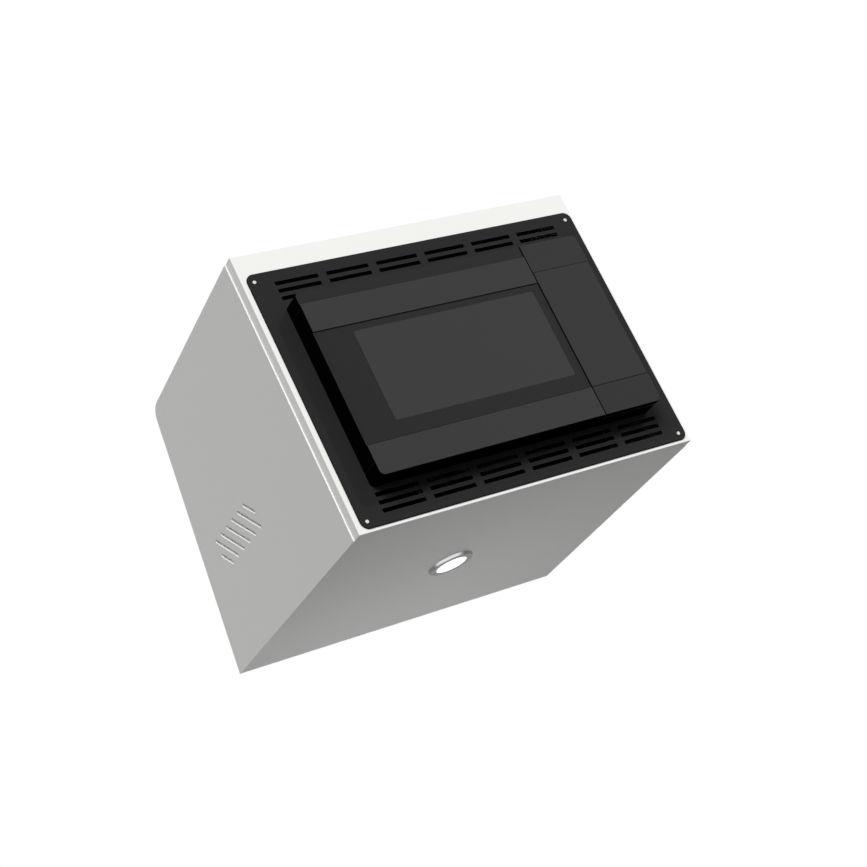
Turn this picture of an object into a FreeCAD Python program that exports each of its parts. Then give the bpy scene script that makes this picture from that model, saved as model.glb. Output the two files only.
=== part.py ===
import FreeCAD, Part
import math
import os

V = FreeCAD.Vector

# Wall-hung bench reflow oven. All sizes are in millimetres. While it is drawn, X runs to the right from the
# middle of the front, Y runs back from the face of the front panel and Z runs up from the underside.
# The finished pieces are then moved so that the origin is the middle of the four wall bolts.

# Housing of folded sheet
FRONT_W = 570.0
FRONT_H = 430.0
FLOOR_D = 473.0
REAR_TOP_D = 382.0
ROOF_FALL = 24.5
BEND_R = 25.0
SHEET = 2.0
SIDE_SHEET = 2.0
FLANGE_SHOW = 17.0
FLANGE_LAP = 10.0
PANEL_EDGE_R = 0.6

# Slanted vents in the side panels
SIDE_VENT_COUNT = 7
SIDE_VENT_PITCH = 24.0
SIDE_VENT_W = 5.5
SIDE_VENT_COLLAR = 2.5
SIDE_VENT_COLLAR_T = 1.2
FILTER_T = 4.0
FILTER_MARGIN = 10.0
FILTER_R = 6.0
SIDE_VENT_FRONT = 225.0
SIDE_VENT_LENGTH = 148.0
SIDE_VENT_FOOT = 125.0
SIDE_VENT_RISE = 50.0

# Wall bolts on the back, measured up the slope
BOLT_SQUARE = 200.0
BOLT_HOLE_R = 4.5
BOLT_CENTRE_UP = 215.0
DOUBLER_L = 260.0
DOUBLER_H = 40.0
DOUBLER_T = 3.0

# Black trim frame with its vents
FRAME_LEFT = 7.9
FRAME_RIGHT = 3.4
FRAME_HEAD = 32.0
FRAME_FOOT = 4.8
FRAME_T = 2.0
FRAME_R = 12.0
FRAME_EDGE_R = 0.8
PANEL_LIP_SIDE = 28.0
PANEL_LIP_END = 12.0
VENT_GROUPS = 6
VENT_ROWS = 3
VENT_L = 69.0
VENT_H = 6.0
VENT_GROUP_PITCH = 82.4
VENT_ROW_PITCH = 11.9
VENT_HEAD = 21.0
VENT_FOOT = 18.3
VENT_CORNER_R = 0.8
TRIM_SCREW_LOW = 9.8
TRIM_SCREW_HIGH = 13.3
TRIM_SCREW_R = 1.8
TRIM_SCREW_L = 10.0
TRIM_HEAD_R = 2.8
TRIM_HEAD_H = 1.8

# Door and control fascia, which stand proud of the frame as one block
BLOCK_LEFT = 36.9
BLOCK_RIGHT = 42.4
BLOCK_HEAD = 58.1
BLOCK_FOOT = 52.75
BLOCK_PROUD = 39.0
BLOCK_R = 8.0
BLOCK_EDGE_R = 1.2
BLOCK_LAP = 9.0
FASCIA_W = 101.2
DOOR_GAP = 0.8
SEAM = 0.8

# Door
DOOR_WALL = 2.5
BAND_T = 1.4
TOP_STRIP_H = 18.0
UPPER_BAND_H = 44.8
LOWER_BAND_H = 45.5
GLASS_T = 3.0
GLASS_SIDE = 4.0
GLASS_GAP = 0.2
WINDOW_LEFT = 58.8
WINDOW_RIGHT = 14.8
WINDOW_FOOT = 70.2
WINDOW_HEAD = 73.1
WINDOW_R = 4.0
INNER_GLASS_T = 4.0
INNER_GLASS_LAP_SIDE = 2.5
INNER_GLASS_LAP_END = 9.0
PAN_T = 1.0
PAN_GAP = 0.1
GASKET_W = 6.0
GASKET_OFF = 2.0
GASKET_FREE = 0.4

# Hinges on the left edge of the door
HINGE_IN = 6.9
HINGE_BACK = 24.0
SWING_R = 1.5
HINGE_DOWN = 20.5
LUG_T = 3.0
LUG_R = 5.0
LUG_ROOM = 0.5
SWEEP_ROOM = 1.5
LEAF_T = 2.0
LEAF_W = 20.0
LEAF_SCREW_IN = 6.5
LEAF_H = 30.0
PIN_R = 2.5
PIN_L = 19.0
PIN_PRESS_GAP = 0.02
PIN_RUN_GAP = 0.05
BUSH_R = 4.5
BUSH_L = 15.0
BUSH_FACE_GAP = 0.3
BOSS_W = 16.0
BOSS_H = 18.5
HINGE_SCREW_R = 1.6
HINGE_SCREW_L = 7.0
HINGE_SCREW_OUT = 8.5
HINGE_HEAD_R = 3.0
HINGE_HEAD_H = 1.8

# Latch bar with two hooks, lifted by the ramp on the release button
LATCH_IN = 9.0
LATCH_T = 2.0
LATCH_DEPTH = 10.0
LATCH_BACK = 7.0
HOOK_DOWN = 18.5
HOOK_H = 6.0
HOOK_DROP = 3.0
HOOK_CLEAR = 0.5
HOOK_NOSE = 6.0
HOOK_TAIL = 5.0
LATCH_ROOM = 0.3
LATCH_TOP_ROOM = 8.0
LATCH_SPRING_FOLDS = 4
GUIDE_H = 4.0
GUIDE_FROM_END = 50.0
PEG_R = 2.0
PEG_L = 4.0
PEG_BACK = 8.0
SLOT_ROOM = 1.2

# Release button
BUTTON_T = 8.0
BUTTON_TRAVEL = 4.0
BUTTON_GAP = 0.5
BUTTON_SEAM = 0.3
STEM_W = 8.0
STEM_FROM_SEAM = 24.0
STEM_UP = 16.5
STEM_ROOM = 0.4
SLIDER_BACK = 1.5
SLIDER_T = 6.0
RAMP_T = 4.0
RAMP_L = 10.0
RAMP_FOOT = 6.0
SPRING_STRIP = 0.4
SPRING_W = 12.0
SPRING_SPAN = 34.0
SPRING_FROM_STEM = 36.0

# Control fascia
FASCIA_WALL = 2.5
FASCIA_FRONT = 4.0
DISPLAY_H = 45.9
DISPLAY_T = 2.5
DISPLAY_SEAM = 0.2
KEYPAD_T = 0.5
KEYPAD_GAP = 0.15
BOARD_T = 1.6
BOARD_BACK = 23.0
BOARD_MARGIN = 5.0
POST_R = 3.0
READOUT_W = 68.0
READOUT_H = 28.0
READOUT_GAP = 0.6
LOOM_HOLE_W = 40.0
LOOM_HOLE_H = 60.0

# Oven cavity and its insulation
FACE_T = 1.5
FACE_LAP = 10.0
CAVITY_LEFT = 26.0
CAVITY_RIGHT = 14.0
CAVITY_END = 39.5
CAVITY_D = 300.0
LINER_T = 1.0
JACKET_T = 20.0
JACKET_BACK = 22.0
TRAY_T = 1.5
TRAY_SIDE = 3.0
TRAY_LIP = 12.0
TRAY_REACH = 12.0
RAIL_W = 40.0
RAIL_T = 1.5
RAIL_LEFT_IN = 34.0
RAIL_RIGHT_OUT = 24.0

# Heaters, rack and thermocouple inside the cavity
HEATER_R = 5.0
HEATER_Y = (60.0, 145.0, 230.0)
HEATER_FROM_WALL = 16.0
CAP_R = 6.8
CAP_COLLAR_R = 9.0
CAP_COLLAR_T = 2.5
CAP_L = 12.0
CAP_BORE_L = 10.0
CAP_GAP = 0.2
RUNNER_W = 10.0
RUNNER_T = 1.2
RUNNER_H = 12.0
RUNNER_UP = 73.0
RUNNER_FRONT = 12.0
RUNNER_L = 255.0
RACK_WIRE_R = 2.0
RACK_BEND_R = 9.0
RACK_BAR_R = 1.5
RACK_BARS = 13
RACK_GAP = 3.0
RACK_L = 238.0
PROBE_R = 1.5
PROBE_L = 60.0
PROBE_FROM_BACK = 33.5
PROBE_DOWN = 34.0
PROBE_NUT_R = 5.0
PROBE_NUT_T = 5.0

# Convection fan at the back of the cavity
COVER_WALL_GAP = 9.0
COVER_RIM = 8.0
COVER_DEPTH = 28.0
COVER_T = 1.0
COVER_HOLE_R = 5.0
COVER_RING_COUNTS = (20, 14, 8)
COVER_RING_IN = 11.0
COVER_RING_PITCH = 20.0
SHAFT_R = 3.0
SHAFT_HOLE_GAP = 2.0
SHAFT_RUN_GAP = 0.05
WHEEL_TIP_GAP = 18.0
WHEEL_T = 1.2
WHEEL_BLADES = 8
BLADE_DEPTH = 12.0
BLADE_ROOT = 24.0
HUB_R = 10.0
WHEEL_BACK_GAP = 5.0
BRACKET_T = 1.5
BRACKET_STAND = 22.0
BRACKET_W = 120.0
BRACKET_H = 70.0
MOTOR_R = 31.0
MOTOR_L = 40.0

# Cooling fan and electronics in the bay beside the cavity
FAN_SIZE = 80.0
FAN_T = 25.0
FAN_Y = 255.0
BAY_GAP = 5.0
FAN_BORE_R = 37.5
FAN_TIP_R = 36.5
FAN_HUB_R = 17.0
FAN_BLADES = 7
FAN_STRUT_T = 4.0
FAN_SHAFT_R = 2.0
FAN_CORE_L = 10.0
FAN_GAP = 1.0
POWER_W = 80.0
POWER_L = 140.0
POWER_Y = 60.0
POWER_UP = 8.0
SINK_FINS = 9
SINK_W = 60.0
SINK_L = 80.0
SINK_H = 34.0
SINK_BASE = 5.0
FIN_T = 2.0
TERMINAL_W = 46.0
TERMINAL_L = 20.0
TERMINAL_H = 18.0
TERMINAL_Y = 218.0
TERMINAL_WAYS = 4
SWITCH_W = 7.0
SWITCH_H = 20.0
SWITCH_D = 12.0
SWITCH_GAP = 2.0

# Lamp in the underside
LAMP_LEFT = 22.5
LAMP_Y = 238.0
BEZEL_R = 35.5
BEZEL_DROP = 4.0
BEZEL_FACE_R = 33.5
BEZEL_EDGE_R = 1.2
LENS_R = 24.1
LENS_T = 2.4
LENS_GAP = 0.1
LENS_SEAT = 2.5
NECK_R = 29.5
NECK_GAP = 0.5
NECK_UP = 5.0
LAMP_BODY_R = 29.0
LAMP_BODY_H = 26.0
LAMP_FINS = 3

# Mains cable gland low on the right side
GLAND_FROM_BACK = 73.0
GLAND_Z = 40.0
GLAND_THREAD_R = 10.0
GLAND_BORE_R = 5.0
GLAND_HEX = 24.0
GLAND_HEX_T = 6.0
GLAND_CAP_R = 11.0
GLAND_CAP_L = 16.0
GLAND_IN = 10.0
GLAND_NUT_T = 4.0
GLAND_HOLE_GAP = 0.2

HALF_W = FRONT_W / 2
REAR_TOP_H = FRONT_H - ROOF_FALL
LEAN = math.atan2(FLOOR_D - REAR_TOP_D, REAR_TOP_H)
ORIGIN = V(0, FLOOR_D - BOLT_CENTRE_UP * math.sin(LEAN), BOLT_CENTRE_UP * math.cos(LEAN))

# Places that many pieces share
frame_x0 = FRAME_LEFT - HALF_W
frame_x1 = HALF_W - FRAME_RIGHT
frame_xc = (frame_x0 + frame_x1) / 2
frame_z0 = FRAME_FOOT
frame_z1 = FRONT_H - FRAME_HEAD
fascia_x1 = frame_x1 - BLOCK_RIGHT
fascia_x0 = fascia_x1 - FASCIA_W
door_x0 = frame_x0 + BLOCK_LEFT
door_x1 = fascia_x0 - SEAM
block_z0 = frame_z0 + BLOCK_FOOT
block_z1 = frame_z1 - BLOCK_HEAD
block_zc = (block_z0 + block_z1) / 2
front_y = -BLOCK_PROUD
door_face = front_y + BAND_T
door_rear = -FRAME_T - DOOR_GAP
open_x0 = door_x0 + BLOCK_LAP
open_x1 = fascia_x1 - BLOCK_LAP
open_z0 = block_z0 + BLOCK_LAP
open_z1 = block_z1 - BLOCK_LAP
cavity_x0 = door_x0 + CAVITY_LEFT
cavity_x1 = door_x1 - CAVITY_RIGHT
cavity_xc = (cavity_x0 + cavity_x1) / 2
cavity_z0 = block_z0 + CAVITY_END
cavity_z1 = block_z1 - CAVITY_END
cavity_back = FACE_T + CAVITY_D
jacket_front = FACE_T + JACKET_BACK
jacket_x1 = cavity_x1 + LINER_T + JACKET_T
jacket_back = cavity_back + LINER_T + JACKET_T
tray_top = cavity_z0 - LINER_T - JACKET_T
window_x0 = door_x0 + WINDOW_LEFT
window_x1 = door_x1 - WINDOW_RIGHT
window_z0 = block_z0 + WINDOW_FOOT
window_z1 = block_z1 - WINDOW_HEAD
pan_front = door_rear - PAN_T
inner_face = door_face + GLASS_T + DOOR_WALL
hinge_x = door_x0 + HINGE_IN
hinge_y = door_rear - HINGE_BACK
leaf_x0 = hinge_x - LUG_R
leaf_screw_x = leaf_x0 + LEAF_W - LEAF_SCREW_IN
lug_z1 = block_z1 - HINGE_DOWN
lug_z0 = lug_z1 - LUG_T
latch_x0 = door_x1 - LATCH_IN - LATCH_T
latch_x1 = latch_x0 + LATCH_T
latch_rear = pan_front - LATCH_BACK + PAN_T
hook_tops = (block_z0 + HOOK_DOWN + HOOK_H, block_z1 - HOOK_DOWN)
nose_y0 = FACE_T + HOOK_CLEAR
nose_y1 = nose_y0 + HOOK_NOSE
hook_tip = nose_y1 + HOOK_TAIL
button_top = block_z0 + LOWER_BAND_H
button_back = front_y + BUTTON_T
recess_y = button_back + BUTTON_TRAVEL + BUTTON_GAP
stem_x = fascia_x0 + STEM_FROM_SEAM
stem_z = block_z0 + STEM_UP
slider_y = FACE_T + SLIDER_BACK
board_y = front_y + BOARD_BACK
bay_x = jacket_x1 + BAY_GAP + FAN_SIZE / 2
cover_r = (cavity_z1 - cavity_z0) / 2 - COVER_RIM - COVER_WALL_GAP
wheel_r = cover_r - COVER_T - WHEEL_TIP_GAP
lamp_x = -LAMP_LEFT
probe_y = cavity_back - PROBE_FROM_BACK
gland_y = FLOOR_D - GLAND_FROM_BACK


# Building blocks

def box(x0, x1, y0, y1, z0, z1):
    return Part.makeBox(x1 - x0, y1 - y0, z1 - z0, V(x0, y0, z0))


def rod(start, end, radius):
    run = end - start
    return Part.makeCylinder(radius, run.Length, start, run)


def prism(points, direction):
    return Part.Face(Part.makePolygon(points + points[:1])).extrude(direction)


def runs_along(edge, axis):
    if not isinstance(edge.Curve, Part.Line):
        return False
    return abs(abs(edge.Curve.Direction.dot(axis)) - 1) < 1e-6


def rounded(shape, radius, axis, where=None):
    """Rounds the straight edges that run along axis, or those of them whose middle passes the test."""
    edges = [e for e in shape.Edges if runs_along(e, axis)]
    if where:
        edges = [e for e in edges if where(e.CenterOfMass)]
    return shape.makeFillet(radius, edges)


def softened_front(shape, y, radius):
    """Rounds every edge that lies in the front plane at y."""
    edges = [e for e in shape.Edges if abs(e.BoundBox.YMin - y) < 1e-6 and abs(e.BoundBox.YMax - y) < 1e-6]
    return shape.makeFillet(radius, edges)


def obround(start, end, width, depth):
    """Slot with round ends between two centres, pushed through along depth."""
    along = (end - start).normalize()
    side = along.cross(V(depth).normalize()) * (width / 2)
    tip = along * (width / 2)
    edges = [
        Part.makeLine(start + side, end + side),
        Part.Arc(end + side, end + tip, end - side).toShape(),
        Part.makeLine(end - side, start - side),
        Part.Arc(start - side, start - tip, start + side).toShape(),
    ]
    return Part.Face(Part.Wire(edges)).extrude(depth)


def hexagon(centre, axis, across, thick):
    """Hexagonal prism, for nuts and spanner flats, along the X axis."""
    corner_r = across / math.sqrt(3)
    points = []
    for i in range(6):
        turn = math.radians(60 * i)
        points.append(centre + V(0, corner_r * math.cos(turn), corner_r * math.sin(turn)))
    return prism(points, axis * thick)


def mirrored_up(shape):
    """The same shape at the other end of the door, reflected at the middle of its height."""
    return shape.mirror(V(0, 0, block_zc), V(0, 0, 1))


def on_back(shape):
    """Moves a shape from the back panel's own frame: Y out of the panel, Z up its slope."""
    placed = shape.copy()
    placed.rotate(V(0, 0, 0), V(1, 0, 0), math.degrees(LEAN))
    placed.translate(V(0, FLOOR_D, 0))
    return placed


# Housing

def housing_prism(inset, y_front, x0, x1):
    """Prism of the side outline, with floor, back and roof drawn in by inset."""
    roof_l = math.hypot(REAR_TOP_D, FRONT_H - REAR_TOP_H)
    roof_n = ((FRONT_H - REAR_TOP_H) / roof_l, REAR_TOP_D / roof_l)
    back_n = (math.cos(LEAN), math.sin(LEAN))
    roof_at = roof_n[1] * FRONT_H - inset
    back_at = back_n[0] * FLOOR_D - inset
    cross = back_n[0] * roof_n[1] - back_n[1] * roof_n[0]
    corner_y = (back_at * roof_n[1] - back_n[1] * roof_at) / cross
    corner_z = (back_n[0] * roof_at - back_at * roof_n[0]) / cross
    foot_y = (back_at - back_n[1] * inset) / back_n[0]
    roof_front_z = (roof_at - roof_n[0] * y_front) / roof_n[1]
    outline = [(y_front, inset), (foot_y, inset), (corner_y, corner_z), (y_front, roof_front_z)]
    solid = prism([V(x0, y, z) for y, z in outline], V(x1 - x0, 0, 0))
    at_corner = V((x0 + x1) / 2, corner_y, corner_z)
    return rounded(solid, BEND_R - inset, V(1, 0, 0), lambda p: (p - at_corner).Length < SHEET)


def front_panel():
    plate = box(-HALF_W, HALF_W, 0, SHEET, 0, FRONT_H)
    plate = softened_front(plate, 0, PANEL_EDGE_R)
    opening = box(frame_x0 + PANEL_LIP_SIDE, frame_x1 - PANEL_LIP_SIDE, -1, SHEET + 1,
                  frame_z0 + PANEL_LIP_END, frame_z1 - PANEL_LIP_END)
    panel = plate.cut(opening)
    reach = box(-FRONT_W, FRONT_W, SHEET, FLANGE_SHOW + FLANGE_LAP, 0, FRONT_H)
    for side in (-1, 1):
        x0, x1 = sorted((side * HALF_W, side * (HALF_W - SHEET)))
        panel = panel.fuse(housing_prism(SHEET, SHEET, x0, x1).common(reach))
    for x, z in trim_screw_places():
        panel = panel.cut(rod(V(x, -1, z), V(x, SHEET + 1, z), TRIM_SCREW_R + PIN_RUN_GAP))
    return panel.removeSplitter()


def floor_panel():
    slab = box(-FRONT_W, FRONT_W, 0, FLOOR_D + SHEET, -SHEET, SHEET)
    panel = housing_prism(0, SHEET, -HALF_W, HALF_W).common(slab)
    return panel.cut(rod(V(lamp_x, LAMP_Y, -1), V(lamp_x, LAMP_Y, SHEET + 1), NECK_R + NECK_GAP))


def bolt_places():
    for x in (-BOLT_SQUARE / 2, BOLT_SQUARE / 2):
        for up in (BOLT_CENTRE_UP - BOLT_SQUARE / 2, BOLT_CENTRE_UP + BOLT_SQUARE / 2):
            yield x, up


def bolt_drill(x, up):
    return on_back(rod(V(x, -2 * DOUBLER_T - SHEET, up), V(x, DOUBLER_T, up), BOLT_HOLE_R))


def roof_back_panel():
    wrap = housing_prism(0, SHEET, -HALF_W, HALF_W)
    wrap = wrap.cut(housing_prism(SHEET, 0, -FRONT_W, FRONT_W))
    wrap = wrap.cut(box(-FRONT_W, FRONT_W, 0, FLOOR_D + SHEET, -SHEET, SHEET))
    for x, up in bolt_places():
        wrap = wrap.cut(bolt_drill(x, up))
    return wrap


def wall_doublers():
    strips = []
    for up in (BOLT_CENTRE_UP - BOLT_SQUARE / 2, BOLT_CENTRE_UP + BOLT_SQUARE / 2):
        strip = box(-DOUBLER_L / 2, DOUBLER_L / 2, -SHEET - DOUBLER_T, -SHEET,
                    up - DOUBLER_H / 2, up + DOUBLER_H / 2)
        strip = on_back(rounded(strip, BOLT_HOLE_R, V(0, 1, 0)))
        for x, bolt_up in bolt_places():
            strip = strip.cut(bolt_drill(x, bolt_up))
        strips.append(strip)
    return Part.makeCompound(strips)


def side_vent_slots(width, x0, x1):
    """Parallel 45 degree slots, each as long as the vent's rectangle lets it be."""
    mid_y = SIDE_VENT_FRONT + SIDE_VENT_LENGTH / 2
    mid_z = SIDE_VENT_FOOT + SIDE_VENT_RISE / 2
    half_y = (SIDE_VENT_LENGTH - SIDE_VENT_W) / 2
    half_z = (SIDE_VENT_RISE - SIDE_VENT_W) / 2
    slots = []
    for i in range(SIDE_VENT_COUNT):
        shift = (i - (SIDE_VENT_COUNT - 1) / 2) * SIDE_VENT_PITCH
        low = max(-half_y - shift, -half_z)
        high = min(half_y - shift, half_z)
        start = V(x0, mid_y + shift + low, mid_z + low)
        end = V(x0, mid_y + shift + high, mid_z + high)
        slots.append(obround(start, end, width, V(x1 - x0, 0, 0)))
    return slots


def side_panel(side):
    """Outer side sheet, its vent slots drawn inwards so that each has a smooth collar."""
    x0, x1 = sorted((side * HALF_W, side * (HALF_W + SIDE_SHEET)))
    panel = housing_prism(0, FLANGE_SHOW, x0, x1)
    inner = side * (HALF_W - SIDE_VENT_COLLAR)
    panel = panel.fuse(side_vent_slots(SIDE_VENT_W + 2 * SIDE_VENT_COLLAR_T, inner, side * HALF_W))
    outer = side * (HALF_W + SIDE_SHEET + 1)
    panel = panel.cut(Part.makeCompound(side_vent_slots(SIDE_VENT_W, inner - side, outer)))
    if side > 0:
        hole_r = GLAND_THREAD_R + GLAND_HOLE_GAP
        panel = panel.cut(rod(V(x0 - 1, gland_y, GLAND_Z), V(x1 + 1, gland_y, GLAND_Z), hole_r))
    return panel.removeSplitter()


def vent_filters():
    """Felt pads that lie against the collars and keep dust out of the housing."""
    pads = []
    for side in (-1, 1):
        near = side * (HALF_W - SIDE_VENT_COLLAR)
        x0, x1 = sorted((near, near - side * FILTER_T))
        pad = box(x0, x1, SIDE_VENT_FRONT - FILTER_MARGIN, SIDE_VENT_FRONT + SIDE_VENT_LENGTH + FILTER_MARGIN,
                  SIDE_VENT_FOOT - FILTER_MARGIN, SIDE_VENT_FOOT + SIDE_VENT_RISE + FILTER_MARGIN)
        pads.append(rounded(pad, FILTER_R, V(1, 0, 0)))
    return Part.makeCompound(pads)


def mains_gland():
    """Cable gland: spanner flats and domed cap outside, thread through the wall, bored for the lead."""
    wall_in = HALF_W
    wall_out = HALF_W + SIDE_SHEET
    body = rod(V(wall_in - GLAND_IN, gland_y, GLAND_Z), V(wall_out, gland_y, GLAND_Z), GLAND_THREAD_R)
    body = body.fuse(hexagon(V(wall_out, gland_y, GLAND_Z), V(1, 0, 0), GLAND_HEX, GLAND_HEX_T))
    cap_x = wall_out + GLAND_HEX_T
    cap = rod(V(cap_x, gland_y, GLAND_Z), V(cap_x + GLAND_CAP_L, gland_y, GLAND_Z), GLAND_CAP_R)
    mouth = [e for e in cap.Edges if abs(e.BoundBox.XMin - cap_x - GLAND_CAP_L) < 1e-6]
    body = body.fuse(cap.makeFillet(GLAND_BORE_R / 2, mouth))
    bore = rod(V(wall_in - GLAND_IN - 1, gland_y, GLAND_Z), V(cap_x + GLAND_CAP_L + 1, gland_y, GLAND_Z),
               GLAND_BORE_R)
    return body.cut(bore).removeSplitter()


def gland_nut():
    wall_in = HALF_W
    nut = hexagon(V(wall_in, gland_y, GLAND_Z), V(-1, 0, 0), GLAND_HEX, GLAND_NUT_T)
    return nut.cut(rod(V(wall_in + 1, gland_y, GLAND_Z), V(wall_in - GLAND_NUT_T - 1, gland_y, GLAND_Z),
                       GLAND_THREAD_R + PIN_RUN_GAP))


# Trim frame

def trim_screw_places():
    for x in (frame_x0 + TRIM_SCREW_LOW, frame_x1 - TRIM_SCREW_HIGH):
        for z in (frame_z0 + TRIM_SCREW_LOW, frame_z1 - TRIM_SCREW_HIGH):
            yield x, z


def trim_frame():
    plate = box(frame_x0, frame_x1, -FRAME_T, 0, frame_z0, frame_z1)
    plate = rounded(plate, FRAME_R, V(0, 1, 0))
    plate = softened_front(plate, -FRAME_T, FRAME_EDGE_R)
    cuts = [rounded(box(open_x0, open_x1, -FRAME_T - 1, 1, open_z0, open_z1), WINDOW_R, V(0, 1, 0))]
    notch = lug_way(LUG_ROOM, -FRAME_T - 1, 1)
    cuts += [notch, mirrored_up(notch)]
    slot = rounded(box(-VENT_L / 2, VENT_L / 2, -FRAME_T - 1, 1, -VENT_H / 2, VENT_H / 2),
                   VENT_CORNER_R, V(0, 1, 0))
    for column in range(VENT_GROUPS):
        x = frame_xc + (column - (VENT_GROUPS - 1) / 2) * VENT_GROUP_PITCH
        for row in range(VENT_ROWS):
            step = row * VENT_ROW_PITCH
            for z in (frame_z0 + VENT_FOOT + step, frame_z1 - VENT_HEAD - step):
                cuts.append(slot.translated(V(x, 0, z)))
    for x, z in trim_screw_places():
        cuts.append(rod(V(x, -FRAME_T - 1, z), V(x, 1, z), TRIM_SCREW_R + GLASS_GAP))
    return plate.cut(Part.makeCompound(cuts))


def pan_head_screw(seat, inward, shank_r, shank_l, head_r, head_h):
    """Screw whose domed head sits on seat and whose shank runs along inward."""
    head = rod(seat, seat - inward * head_h, head_r)
    rim = [e for e in head.Edges if e.Closed and (e.CenterOfMass - seat).Length > head_h / 2]
    head = head.makeFillet(head_h * 0.6, rim)
    return head.fuse(rod(seat, seat + inward * shank_l, shank_r)).removeSplitter()


def trim_screws():
    inward = V(0, 1, 0)
    return Part.makeCompound([
        pan_head_screw(V(x, -FRAME_T, z), inward, TRIM_SCREW_R, TRIM_SCREW_L, TRIM_HEAD_R, TRIM_HEAD_H)
        for x, z in trim_screw_places()])


# Oven face, hinges and cavity

def hook_slot(hook_top, y0, y1):
    """Clear way for one hook, at rest and lifted."""
    return box(latch_x0 - SLOT_ROOM, latch_x1 + PEG_L + SLOT_ROOM, y0, y1,
               hook_top - HOOK_H - LATCH_ROOM, hook_top + BUTTON_TRAVEL + SLOT_ROOM)


def hinge_screw_places():
    for away in (-HINGE_SCREW_OUT, HINGE_SCREW_OUT):
        yield (lug_z0 + lug_z1) / 2 + away


def upper_hinge():
    """Leaf behind the oven face, with a lug that reaches forward to the pin."""
    mid_z = (lug_z0 + lug_z1) / 2
    leaf = box(leaf_x0, leaf_x0 + LEAF_W, FACE_T, FACE_T + LEAF_T,
               mid_z - LEAF_H / 2, mid_z + LEAF_H / 2)
    leaf = rounded(leaf, LUG_R / 2, V(0, 1, 0))
    lug = box(hinge_x - LUG_R, hinge_x + LUG_R, hinge_y, FACE_T + LEAF_T, lug_z0, lug_z1)
    lug = lug.fuse(rod(V(hinge_x, hinge_y, lug_z0), V(hinge_x, hinge_y, lug_z1), LUG_R))
    bracket = leaf.fuse(lug)
    bracket = bracket.cut(rod(V(hinge_x, hinge_y, lug_z0 - 1), V(hinge_x, hinge_y, lug_z1 + 1),
                              PIN_R + PIN_PRESS_GAP))
    for z in hinge_screw_places():
        bracket = bracket.cut(rod(V(leaf_screw_x, 0, z), V(leaf_screw_x, FACE_T + LEAF_T + 1, z),
                                  HINGE_SCREW_R + PIN_RUN_GAP))
    return bracket.removeSplitter()


def upper_hinge_pin():
    return rod(V(hinge_x, hinge_y, lug_z1 - PIN_L), V(hinge_x, hinge_y, lug_z1), PIN_R)


def upper_hinge_screws():
    return [pan_head_screw(V(leaf_screw_x, 0, z), V(0, 1, 0), HINGE_SCREW_R, HINGE_SCREW_L,
                           HINGE_HEAD_R, HINGE_HEAD_H) for z in hinge_screw_places()]


def lug_way(room, y0, y1):
    return box(hinge_x - LUG_R - room, hinge_x + LUG_R + room, y0, y1, lug_z0 - room, lug_z1 + room)


def face_plate():
    """Steel face of the oven, behind the frame's opening, with the ways for hinges, hooks and button."""
    plate = box(open_x0 - FACE_LAP, open_x1 + FACE_LAP, 0, FACE_T, open_z0 - FACE_LAP, open_z1 + FACE_LAP)
    cuts = [box(cavity_x0, cavity_x1, -1, FACE_T + 1, cavity_z0, cavity_z1)]
    way = lug_way(GLASS_GAP, -1, FACE_T + 1)
    cuts += [way, mirrored_up(way)]
    for z in hinge_screw_places():
        drill = rod(V(leaf_screw_x, -1, z), V(leaf_screw_x, FACE_T + 1, z), HINGE_SCREW_R + PIN_RUN_GAP)
        cuts += [drill, mirrored_up(drill)]
    for hook_top in hook_tops:
        cuts.append(hook_slot(hook_top, -1, FACE_T + 1))
    half = STEM_W / 2 + STEM_ROOM
    cuts.append(box(stem_x - half, stem_x + half, -1, FACE_T + 1, stem_z - half, stem_z + half))
    loom_x = (fascia_x0 + fascia_x1) / 2
    cuts.append(box(loom_x - LOOM_HOLE_W / 2, loom_x + LOOM_HOLE_W / 2, -1, FACE_T + 1,
                    block_zc - LOOM_HOLE_H / 2, block_zc + LOOM_HOLE_H / 2))
    return plate.cut(Part.makeCompound(cuts))


def heater_places():
    for y in HEATER_Y:
        for z in (cavity_z0 + HEATER_FROM_WALL, cavity_z1 - HEATER_FROM_WALL):
            yield y, z


def cap_drills(x0, x1):
    return [rod(V(x0, y, z), V(x1, y, z), CAP_R + CAP_GAP) for y, z in heater_places()]


def shaft_drill(y0, y1, gap):
    return rod(V(cavity_xc, y0, block_zc), V(cavity_xc, y1, block_zc), SHAFT_R + gap)


def probe_drill(gap):
    z = cavity_z1 - PROBE_DOWN
    return rod(V(cavity_xc, probe_y, z), V(jacket_x1 + 1, probe_y, z), PROBE_R + gap)


def liner_outside():
    return box(cavity_x0 - LINER_T, cavity_x1 + LINER_T, FACE_T, cavity_back + LINER_T,
               cavity_z0 - LINER_T, cavity_z1 + LINER_T)


def cavity_liner():
    """Stainless box, open to the front, drilled for the heaters, the fan's shaft and the probe."""
    liner = liner_outside().cut(box(cavity_x0, cavity_x1, 0, cavity_back, cavity_z0, cavity_z1))
    cuts = cap_drills(cavity_x0 - LINER_T - 1, cavity_x1 + LINER_T + 1)
    cuts.append(shaft_drill(cavity_back - 1, cavity_back + LINER_T + 1, SHAFT_HOLE_GAP))
    cuts.append(probe_drill(GLASS_GAP))
    return liner.cut(Part.makeCompound(cuts))


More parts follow.
